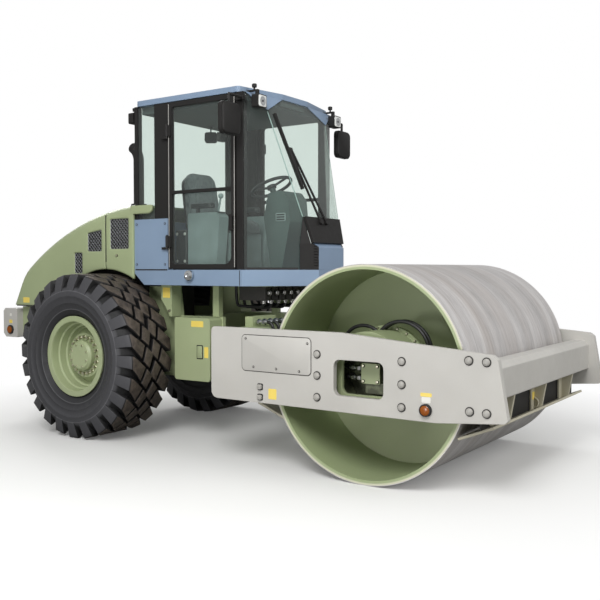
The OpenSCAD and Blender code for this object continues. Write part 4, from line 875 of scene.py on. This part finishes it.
# place, width and height of the glass, and which way it looks
work_lamps = [(lamp_hi[0], 0.603, 2.975, 0.104, 0.094, 1), (lamp_lo[0], 0.640, 2.965, 0.094, 0.084, -1)]
bowl = [(0.010, 0, 0.0035), (0.034, 0, 0.0035), (0.038, 0, 0.0065), (0.033, 0, 0.007), (0.010, 0, 0.0055)]
bulb = [(0.010, 0, 0.004), (0.009, 0, 0.008), (0.004, 0, 0.009), (0, 0, 0.009)]
MIRROR_Y, MIRROR_Z = 0.890, 2.800
for hand, word in SIDES:
    bm = bmesh.new()
    for x, y, z, wide, high, way in work_lamps:
        front = facing((x, hand * y, z), (way, 0, 0))
        lay(bm, rounded_plate(wide, high, 0.004, 0.014, 0.002), front)
        lay(bm, turning(bowl, 32, 1), front)
        lay(bm, turning(bulb, 24, 2), front)
    piece("work_lamp_glass_" + word, bm, "rear_unit", "glass", white_lens, chrome, dark_trim)

    bm = bmesh.new()
    lay(bm, rounded_plate(0.232, 0.252, 0.016, 0.044, 0.012),
        facing((CAB_FRONT + 0.036, hand * MIRROR_Y, MIRROR_Z), (1, 0, 0)))
    lay(bm, rounded_plate(0.225, 0.245, 0.003, 0.038, 0.001, 1),
        facing((CAB_FRONT, hand * MIRROR_Y, MIRROR_Z), (-1, 0, 0)))
    piece("mirror_faces_" + word, bm, "rear_unit", "black_paint", black, mirror_glass)

# %% [markdown]
# Small things on the outside: a plated filler cap under the door, and clamp knobs over the work lamps.

# %% Cap and knobs
bm = turning([(0.030, 0, 0), (0.034, 0, 0.004), (0.034, 0, 0.012), (0.045, 0, 0.016), (0.046, 0, 0.034),
              (0.040, 0, 0.042), (0.020, 0, 0.045), (0.014, 0, 0.040), (0, 0, 0.040)], 36)
bm.transform(facing((-0.227, -CAB_HALF, 1.506), (0, -1, 0)))
piece("filler_cap", bm, "rear_unit", "chrome", chrome)

bm = bmesh.new()
lay(bm, turning([(0.008, 0, 0), (0.008, 0, 0.018), (0.020, 0, 0.020), (0.022, 0, 0.044), (0.018, 0, 0.050),
                 (0, 0, 0.051)], 20),
    *upright_pair(CAB_BACK - 0.045, 0.640, 3.014), *upright_pair(CAB_FRONT + 0.060, 0.603, 3.078))
piece("lamp_knobs", bm, "rear_unit", "black_paint", black)

# %% [markdown]
# ## Inside the cab
# Through the glass one sees a dark floor mat, a fuse box with four pale screws, an arm rest, a small vent
# on the column and a little mirror hung from the roof. They are rounded plates with soft edges, each
# standing on its carrier.

# %% Mat, boxes and arm rests
MAT_X = -0.285
MAT_RIBS = 24
bm = bmesh.new()
lay(bm, rounded_plate(1.16, 1.22, 0.006, 0.03, 0.002), Matrix.Translation((MAT_X, 0, SILL)))
lay(bm, rounded_plate(1.10, 0.014, 0.004, 0.006, 0),
    *[Matrix.Translation((MAT_X, -0.575 + row * 0.05, SILL + 0.006)) for row in range(MAT_RIBS)])
piece("floor_mat", bm, "rear_unit", "rubber", rubber)

bm = bmesh.new()
lay(bm, rounded_plate(0.135, 0.150, 0.370, 0.016, 0.008), *upright_pair(-0.580, 0.360, SILL))
for x in (-0.628, -0.532):
    for z in (1.635, 1.890):
        lay(bm, dome_bolt(0.011, 0.014, 0.006, 1), *on_flanks(x, 0.435, z))
piece("fuse_boxes", bm, "rear_unit", "trim", dark_trim, white_sign)

bm = bmesh.new()
lay(bm, rounded_plate(0.260, 0.085, 0.045, 0.036, 0.016), *upright_pair(-0.385, 0.350, 2.128))
lay(bm, turning([(0.022, 0, 0), (0.018, 0, 0.006), (0.018, 0, 0.050)], 20),
    *upright_pair(-0.440, 0.350, 2.080))
lay(bm, rounded_plate(0.150, 0.100, 0.004, 0.012, 0.001), *upright_pair(-0.205, 0.365, 2.080))
piece("arm_rests", bm, "rear_unit", "trim", dark_trim)

# %% Vents and hanging mirror
VENT_X, VENT_Z = 0.363, 2.030
bm = bmesh.new()
lay(bm, rounded_plate(0.110, 0.075, 0.004, 0.014, 0.001), *on_flanks(VENT_X, 0.150, VENT_Z))
for dz in (-0.022, 0.0, 0.022):
    lay(bm, rounded_plate(0.086, 0.010, 0.003, 0.004, 0, 1), *on_flanks(VENT_X, 0.1535, VENT_Z + dz))
piece("column_vents", bm, "rear_unit", "trim", light_trim, rubber)

bm = bmesh.new()
hang = facing((-0.768, 0.220, 2.892), (-0.5, 0.84, -0.2))
lay(bm, rounded_plate(0.124, 0.104, 0.050, 0.024, 0.012), hang)
lay(bm, rounded_plate(0.108, 0.088, 0.002, 0.018, 0, 1), hang @ Matrix.Translation((0, 0, 0.050)))
lay(bm, turning([(0.012, 0, 0), (0.007, 0, 0.02), (0.007, 0, 0.045), (0.022, 0, 0.062),
                 (0.022, 0, 0.068)], 16), Matrix.Translation((-0.778, 0.236, 2.930)))
piece("hanging_mirror", bm, "rear_unit", "trim", dark_trim, mirror_glass)

# %% [markdown]
# ## Grilles
# Behind each opening in the hood lies a black plate, and in front of it a net of diamond-shaped holes about
# 27 mm wide. A flat grid is turned by 45 degrees, cut to the opening's four sides, and turned into bars by
# the wireframe operator.

# %% Wire nets in the grille openings
# woven zinc wire: dull grey, so the holes read darker
wire = metal("grey_wire_net", "#85878A", "#A3A5A8", 0.45, (1, 1, 1), 6, 0.1, 0.5)
NET_CELL = 0.027
NET_WIRE = 0.0044
NET_Y = max(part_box(name)[1][1] for name in ("shroud_grilles", "hood_grilles")) + NET_WIRE / 2


def opening_sides(node, x0, x1):
    spots = [v.co for v in nodes[node].data.vertices if v.co.y < -0.69 and x0 < v.co.x < x1]
    rear, front = min(p.x for p in spots), max(p.x for p in spots)
    low = min(p.z for p in spots)
    top_rear = max(p.z for p in spots if p.x < rear + 0.020)
    top_front = max(p.z for p in spots if p.x > front - 0.020)
    return rear, front, low, top_rear, top_front


def wire_net(target, sides, hand):
    rear, front, low, top_rear, top_front = sides
    net = bmesh.new()
    reach = max(front - rear, top_front - low)
    count = int(reach * 1.5 / NET_CELL)
    bmesh.ops.create_grid(net, x_segments=count, y_segments=count, size=count * NET_CELL / 2)
    middle = ((rear + front) / 2, hand * NET_Y, (low + top_front) / 2)
    net.transform(facing(middle, (0, hand, 0)) @ Matrix.Rotation(pi / 4, 4, "Z"))
    cuts = [((rear, 0, 0), (-1, 0, 0)), ((front, 0, 0), (1, 0, 0)), ((0, 0, low), (0, 0, -1)),
            ((rear, 0, top_rear), (top_rear - top_front, 0, front - rear))]
    for spot, way in cuts:
        bmesh.ops.bisect_plane(net, geom=net.verts[:] + net.edges[:] + net.faces[:], plane_co=spot,
                               plane_no=way, clear_outer=True)
    bmesh.ops.wireframe(net, faces=net.faces[:], thickness=NET_WIRE, offset=0.0, use_replace=True,
                        use_boundary=True, use_even_offset=True)
    lay(target, net)


shroud_opening = opening_sides("shroud_grilles", -2.0, 0.0)
hood_openings = [opening_sides("hood_grilles", -1.60, -1.2), opening_sides("hood_grilles", -2.0, -1.60)]
bm = bmesh.new()
for hand in HANDS:
    wire_net(bm, shroud_opening, hand)
piece("shroud_nets", bm, "rear_unit", "black_paint", wire)
bm = bmesh.new()
for hand in HANDS:
    for opening in hood_openings:
        wire_net(bm, opening, hand)
piece("hood_nets", bm, "hood", "black_paint", wire)

# %% [markdown]
# ## Rear frame fittings
# Blank yellow signs sit on the hood, the cab's riser and the tank. The tank has a latch in a dark frame,
# and a ring runs round the bumper's side lamp. All are thin plates that lie on the panel behind them.

# %% Signs, latch and lamp rings
HOOD_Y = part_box("hood")[1][1]
RISER_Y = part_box("cab_supports")[1][1]
TANK_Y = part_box("tanks")[1][1]
BUMPER_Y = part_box("bumper")[1][1]
BUMPER_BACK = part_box("bumper")[0][0]
LAMP_X = -2.7375
bm = bmesh.new()
lay(bm, rounded_plate(0.100, 0.055, 0.0015, 0.006, 0), *on_flanks(-2.470, HOOD_Y, 1.242))
# a rubber lip under the hood's lower edge
lay(bm, rounded_plate(0.660, 0.016, 0.011, 0.004, 0, 1), *upright_pair(-2.305, 0.709, 1.1785))
piece("hood_signs", bm, "hood", "green_paint", yellow_sign, rubber)

# width, height, place and finish
rear_signs = [(0.090, 0.094, -0.612, RISER_Y, 1.345, 0), (0.142, 0.054, -0.205, TANK_Y, 1.072, 0),
              (0.046, 0.098, -0.100, TANK_Y, 0.822, 0), (0.048, 0.036, LAMP_X, BUMPER_Y, 1.010, 0),
              (0.030, 0.030, LAMP_X, BUMPER_Y, 1.082, 2), (0.072, 0.126, -0.175, TANK_Y, 0.822, 1)]
bm = bmesh.new()
for wide, high, x, y, z, index in rear_signs:
    lay(bm, rounded_plate(wide, high, 0.0015, 0.006, 0, index), *on_flanks(x, y, z))
lay(bm, rounded_plate(0.056, 0.108, 0.006, 0.008, 0.002, 3), *on_flanks(-0.175, TANK_Y + 0.001, 0.822))
lay(bm, turning([(0.0364, 0, 0), (0.047, 0, 0), (0.047, 0, 0.012), (0.043, 0, 0.018), (0.0364, 0, 0.018),
                 (0.0364, 0, 0)], 36, 1), *on_flanks(LAMP_X, BUMPER_Y, 0.925))
piece("rear_signs", bm, "rear_unit", "green_paint", yellow_sign, rubber, white_sign, green)

# %% Bolts on the bumper and the shroud
bm = bmesh.new()
bumper_bolts = [facing((BUMPER_BACK, y, z), (-1, 0, 0)) for y in (-0.52, -0.30, 0.30, 0.52)
                for z in (0.890, 1.105)]
lay(bm, hex_bolt(0.018, 0.011, 0.013), *on_flanks(-1.130, 0.720, 1.690), *on_flanks(-0.575, RISER_Y, 1.180),
    *bumper_bolts)
piece("frame_bolts", bm, "rear_unit", "steel", zinc, dark_ring)

# %% [markdown]
# A black rubber bead closes the seam between the fixed shroud and the tilting hood. It sits on the shroud's
# edge.

# %% Seam bead
bm = bmesh.new()
for hand in HANDS:
    flank = [v.co for v in nodes["shroud"].data.vertices if v.co.y * hand > 0.700]
    seam = min(p.x for p in flank)
    edge = [p for p in flank if p.x < seam + 0.004]
    low, top = min(p.z for p in edge), max(p.z for p in edge)
    bead_y = hand * max(p.y * hand for p in edge)
    strip(bm, (seam + 0.007, bead_y, low + 0.004), (seam + 0.007, bead_y, top - 0.004), 0.011, 0.0015,
          (0, hand, 0))
piece("seam_bead", bm, "rear_unit", "rubber", rubber)

# %% [markdown]
# ## Seat cloth
# The driver's seat is covered in grey woven cloth. Real threads are under a millimetre and would not show,
# so the weave is drawn at 6 mm: two sets of bands at right angles, one over the other, with a soft sheen.

# %% Woven cloth
def woven_cloth(name, thread, shadow, pitch_mm):
    material, tree, shader, place = start(name)
    bands = []
    for way, degrees in (("X", 90), ("Z", 0)):
        turned = put(tree, MAPPING, {"Vector": place, "Rotation": (0.0, 0.0, radians(degrees))})
        wave = {"Vector": turned, "Scale": 1 / (pitch_mm * MM * 3.2), "Distortion": 0.6, "Detail": 2.0}
        bands.append(put(tree, "ShaderNodeTexWave", wave, "Fac", bands_direction=way))
    weave = put(tree, MATH, bands, operation="MULTIPLY")
    pile = put(tree, NOISE, {"Vector": place, "Scale": 1 / (40 * MM), "Detail": 5.0})
    level = put(tree, MATH, (weave, pile), operation="ADD")
    share = put(tree, RANGE, (level, 0.3, 1.1))
    colour = put(tree, MIX, {0: share, 6: linear(shadow), 7: linear(thread)}, MIXED, data_type="RGBA")
    bump = put(tree, BUMP, {"Height": weave, "Strength": 0.35, "Distance": 0.6 * MM})
    rough = put(tree, RANGE, (pile, 0.0, 1.0, 0.78, 0.95))
    plug(tree, shader, {"Base Color": colour, "Normal": bump, "Roughness": rough, "Sheen Weight": 0.25})
    return material


# woven cloth: no highlight, only a soft glow at its rims
seat_cloth = woven_cloth("grey_woven_seat_cloth", "#7F8889", "#4E5557", 6)
print("cloth", seat_cloth.name)

# %% [markdown]
# ## Padded seat
# Each cushion starts a little small, as a plate with soft edges. A voxel remesh gives it even faces, and a
# cloth simulation with air pressure inside blows it up, so the sides pull in between the corners as sewn
# foam does. The movement is capped, the sewn channels are pressed in afterwards, and the underside stays
# flat on its base.

# %% Blow up a cushion
VOXEL = 0.006
AIR_PRESSURE = 4.0
BLOW_FRAMES = 20


def blown_pad(name, bm, most, thick):
    mesh = bpy.data.meshes.new(name + "_start")
    bm.to_mesh(mesh)
    bm.free()
    obj = bpy.data.objects.new(name, mesh)
    scene.collection.objects.link(obj)
    grid = obj.modifiers.new("even_faces", "REMESH")
    grid.mode = "VOXEL"
    grid.voxel_size = VOXEL
    obj.data = evaluated_mesh(obj)
    obj.modifiers.clear()
    before = [v.co.copy() for v in obj.data.vertices]
    cloth = obj.modifiers.new("cloth", "CLOTH")
    cloth.settings.use_pressure = True
    cloth.settings.uniform_pressure_force = AIR_PRESSURE
    cloth.settings.effector_weights.gravity = 0.0
    cloth.settings.quality = 4
    cloth.point_cache.frame_start = 1
    cloth.point_cache.frame_end = BLOW_FRAMES
    for step in range(1, BLOW_FRAMES + 1):
        scene.frame_set(step)
    after = evaluated_mesh(obj)
    obj.modifiers.clear()
    scene.frame_set(1)
    for v, old in zip(after.vertices, before):
        move = v.co - old
        swell = thick * min(max(move.dot(thick), -most), most)
        spread = move - thick * move.dot(thick)
        if spread.length > most * 0.25:
            spread = spread.normalized() * most * 0.25
        v.co = old + swell + spread
    obj.data = after
    return obj

# %% Sew and finish a cushion
SEAM_DEEP = 0.009
SEAM_WIDE = 0.008


def sew(obj, lines, inward):
    for v in obj.data.vertices:
        for across, limit in lines:
            gap = abs(across(v.co))
            if gap < SEAM_WIDE * 3 and limit(v.co):
                v.co += inward * SEAM_DEEP * 2.718 ** (-(gap / SEAM_WIDE) ** 2)


def finish_pad(obj, node):
    obj.data.polygons.foreach_set("use_smooth", [True] * len(obj.data.polygons))
    obj.data.materials.clear()
    obj.data.materials.append(seat_cloth)
    soft = obj.modifiers.new("soft", "SUBSURF")
    soft.levels = soft.render_levels = 1
    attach(obj, "rear_unit")
    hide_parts(node)
    print(obj.name, len(obj.data.vertices), "points")

# %% Seat cushion
pad_lo, pad_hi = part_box("seat_cushion")
pad_long, pad_wide, pad_tall = [hi - lo for lo, hi in zip(pad_lo, pad_hi)]
shape = rounded_plate(pad_long - 0.030, pad_wide - 0.030, pad_tall - 0.022, 0.070, 0.034)
shape.transform(Matrix.Translation(((pad_lo[0] + pad_hi[0]) / 2, 0, pad_lo[2])))
cushion = blown_pad("seat_cushion_pad", shape, 0.024, Vector((0, 0, 1)))
PAD_UPPER = pad_lo[2] + 0.08
channels = [(lambda p: p.y - 0.135, lambda p: p.z > PAD_UPPER),
            (lambda p: p.y + 0.135, lambda p: p.z > PAD_UPPER),
            (lambda p: p.x + 0.300, lambda p: p.z > PAD_UPPER and abs(p.y) < 0.135)]
sew(cushion, channels, Vector((0, 0, -1)))
for v in cushion.data.vertices:
    v.co.z = max(v.co.z, pad_lo[2])
    v.co.x = max(v.co.x, pad_lo[0] + 0.002)
finish_pad(cushion, "seat_cushion")

# %% Seat back and its shell
LEAN = Matrix(((0, -0.128, 0.9918), (1, 0, 0), (0, 0.9918, 0.128))).to_4x4()
BACK_FOOT = Vector((-0.6865, 0, 1.900))
back_place = Matrix.Translation(BACK_FOOT) @ LEAN @ Matrix.Translation((0, 0.300, 0))
back_normal = LEAN.to_3x3() @ Vector((0, 0, 1))
shape = rounded_plate(0.462, 0.595, 0.072, 0.110, 0.030)
for v in shape.verts:
    v.co.x *= 1.0 - 0.14 * max(0.0, v.co.y / 0.3)
shape.transform(back_place)
backrest = blown_pad("seat_back_pad", shape, 0.020, back_normal)
unlean = back_place.inverted()
seams = [(lambda p: abs((unlean @ p).x) - 0.130, lambda p: (unlean @ p).z > 0.04 and (unlean @ p).y < 0.20),
         (lambda p: (unlean @ p).y - 0.120, lambda p: (unlean @ p).z > 0.04 and abs((unlean @ p).x) < 0.130)]
sew(backrest, seams, -back_normal)
finish_pad(backrest, "seat_back")

bm = bmesh.new()
lay(bm, rounded_plate(0.420, 0.560, 0.046, 0.105, 0.024),
    back_place @ Matrix.Translation((0, -0.010, 0.004)) @ Matrix.Rotation(pi, 4, "Y"))
lay(bm, turning([(0.016, 0, 0), (0.034, 0, 0.004), (0.034, 0, 0.020), (0.026, 0, 0.026), (0, 0, 0.026)], 24),
    *on_flanks(-0.640, 0.225, 1.945))
piece("seat_shell", bm, "rear_unit", "trim", dark_trim)

# %% [markdown]
# ## Studio
# A large pale floor carries the shadow and fades into a white surround. The camera sees the surround as
# plain white, while its light and gleam on the machine stay moderate, so colours render as written.

# %% Floor
def studio_floor():
    material, tree, shader, place = start("pale_studio_floor")
    grain = put(tree, NOISE, {"Vector": place, "Scale": 20.0})
    bump = put(tree, BUMP, {"Height": grain, "Strength": 0.02, "Distance": 0.001})
    seen = put(tree, "ShaderNodeLightPath", out="Is Camera Ray")
    # the floor throws back less light than it shows, as a dull cloth in a large hall would
    shown = put(tree, MIX, {0: seen, 6: linear("#A0A09E"), 7: linear("#F4F4F2")}, MIXED, data_type="RGBA")
    plug(tree, shader, {"Base Color": shown, "Roughness": 0.8, "Specular IOR Level": 0.1, "Normal": bump})
    away = put(tree, VECTOR, (place,), "Value", operation="LENGTH")
    fade = put(tree, RANGE, (away, 2.5, 5.0, 0.08, 1.0))
    faded = put(tree, MATH, (seen, fade), operation="MULTIPLY")
    white = put(tree, "ShaderNodeEmission", {"Color": (1, 1, 1, 1), "Strength": 1.0})
    blend = put(tree, "ShaderNodeMixShader", (faded, shader.outputs[0], white))
    plug(tree, tree.nodes["Material Output"], {"Surface": blend})
    return material


bm = bmesh.new()
bmesh.ops.create_grid(bm, x_segments=4, y_segments=4, size=40)
floor_mesh = bpy.data.meshes.new("floor")
bm.to_mesh(floor_mesh)
bm.free()
floor = bpy.data.objects.new("floor", floor_mesh)
floor_mesh.materials.append(studio_floor())
floor.location = (0, 0, -0.0005)
scene.collection.objects.link(floor)
print("floor laid")

# %% Surround and lamps
world = bpy.data.worlds.new("studio")
scene.world = world
world.use_nodes = True
sky = world.node_tree
ray = put(sky, "ShaderNodeLightPath").node.outputs
direct = put(sky, MATH, (ray["Is Camera Ray"], ray["Is Transmission Ray"]), operation="MAXIMUM")
gleam = put(sky, MATH, (ray["Is Glossy Ray"], 0.25), operation="MULTIPLY")
shown = put(sky, MATH, (direct, gleam), operation="MAXIMUM")
level = put(sky, RANGE, (shown, 0.0, 1.0, 0.33, 1.0))
plug(sky, sky.nodes["Background"], {"Color": (1, 1, 1, 1), "Strength": level})


def lamp(name, place, target, size, watts):
    data = bpy.data.lights.new(name, "AREA")
    data.shape = "SQUARE"
    data.size = size
    data.energy = watts
    obj = bpy.data.objects.new(name, data)
    obj.location = place
    obj.rotation_euler = (Vector(target) - Vector(place)).to_track_quat("-Z", "Y").to_euler()
    scene.collection.objects.link(obj)


lamp("key_softbox", (3.5, -7.5, 7.0), (0.2, 0, 1.0), 4.0, 620)
lamp("front_softbox", (9.0, -1.0, 4.5), (0.5, 0, 1.0), 4.0, 250)
lamp("low_fill", (1.0, -6.5, 0.80), (1.7, -0.6, 0.6), 1.2, 74)
lamp("rear_softbox", (-7.0, 3.0, 6.5), (-0.5, 0, 1.2), 4.0, 310)
scene.view_settings.view_transform = "Standard"
print("studio ready")
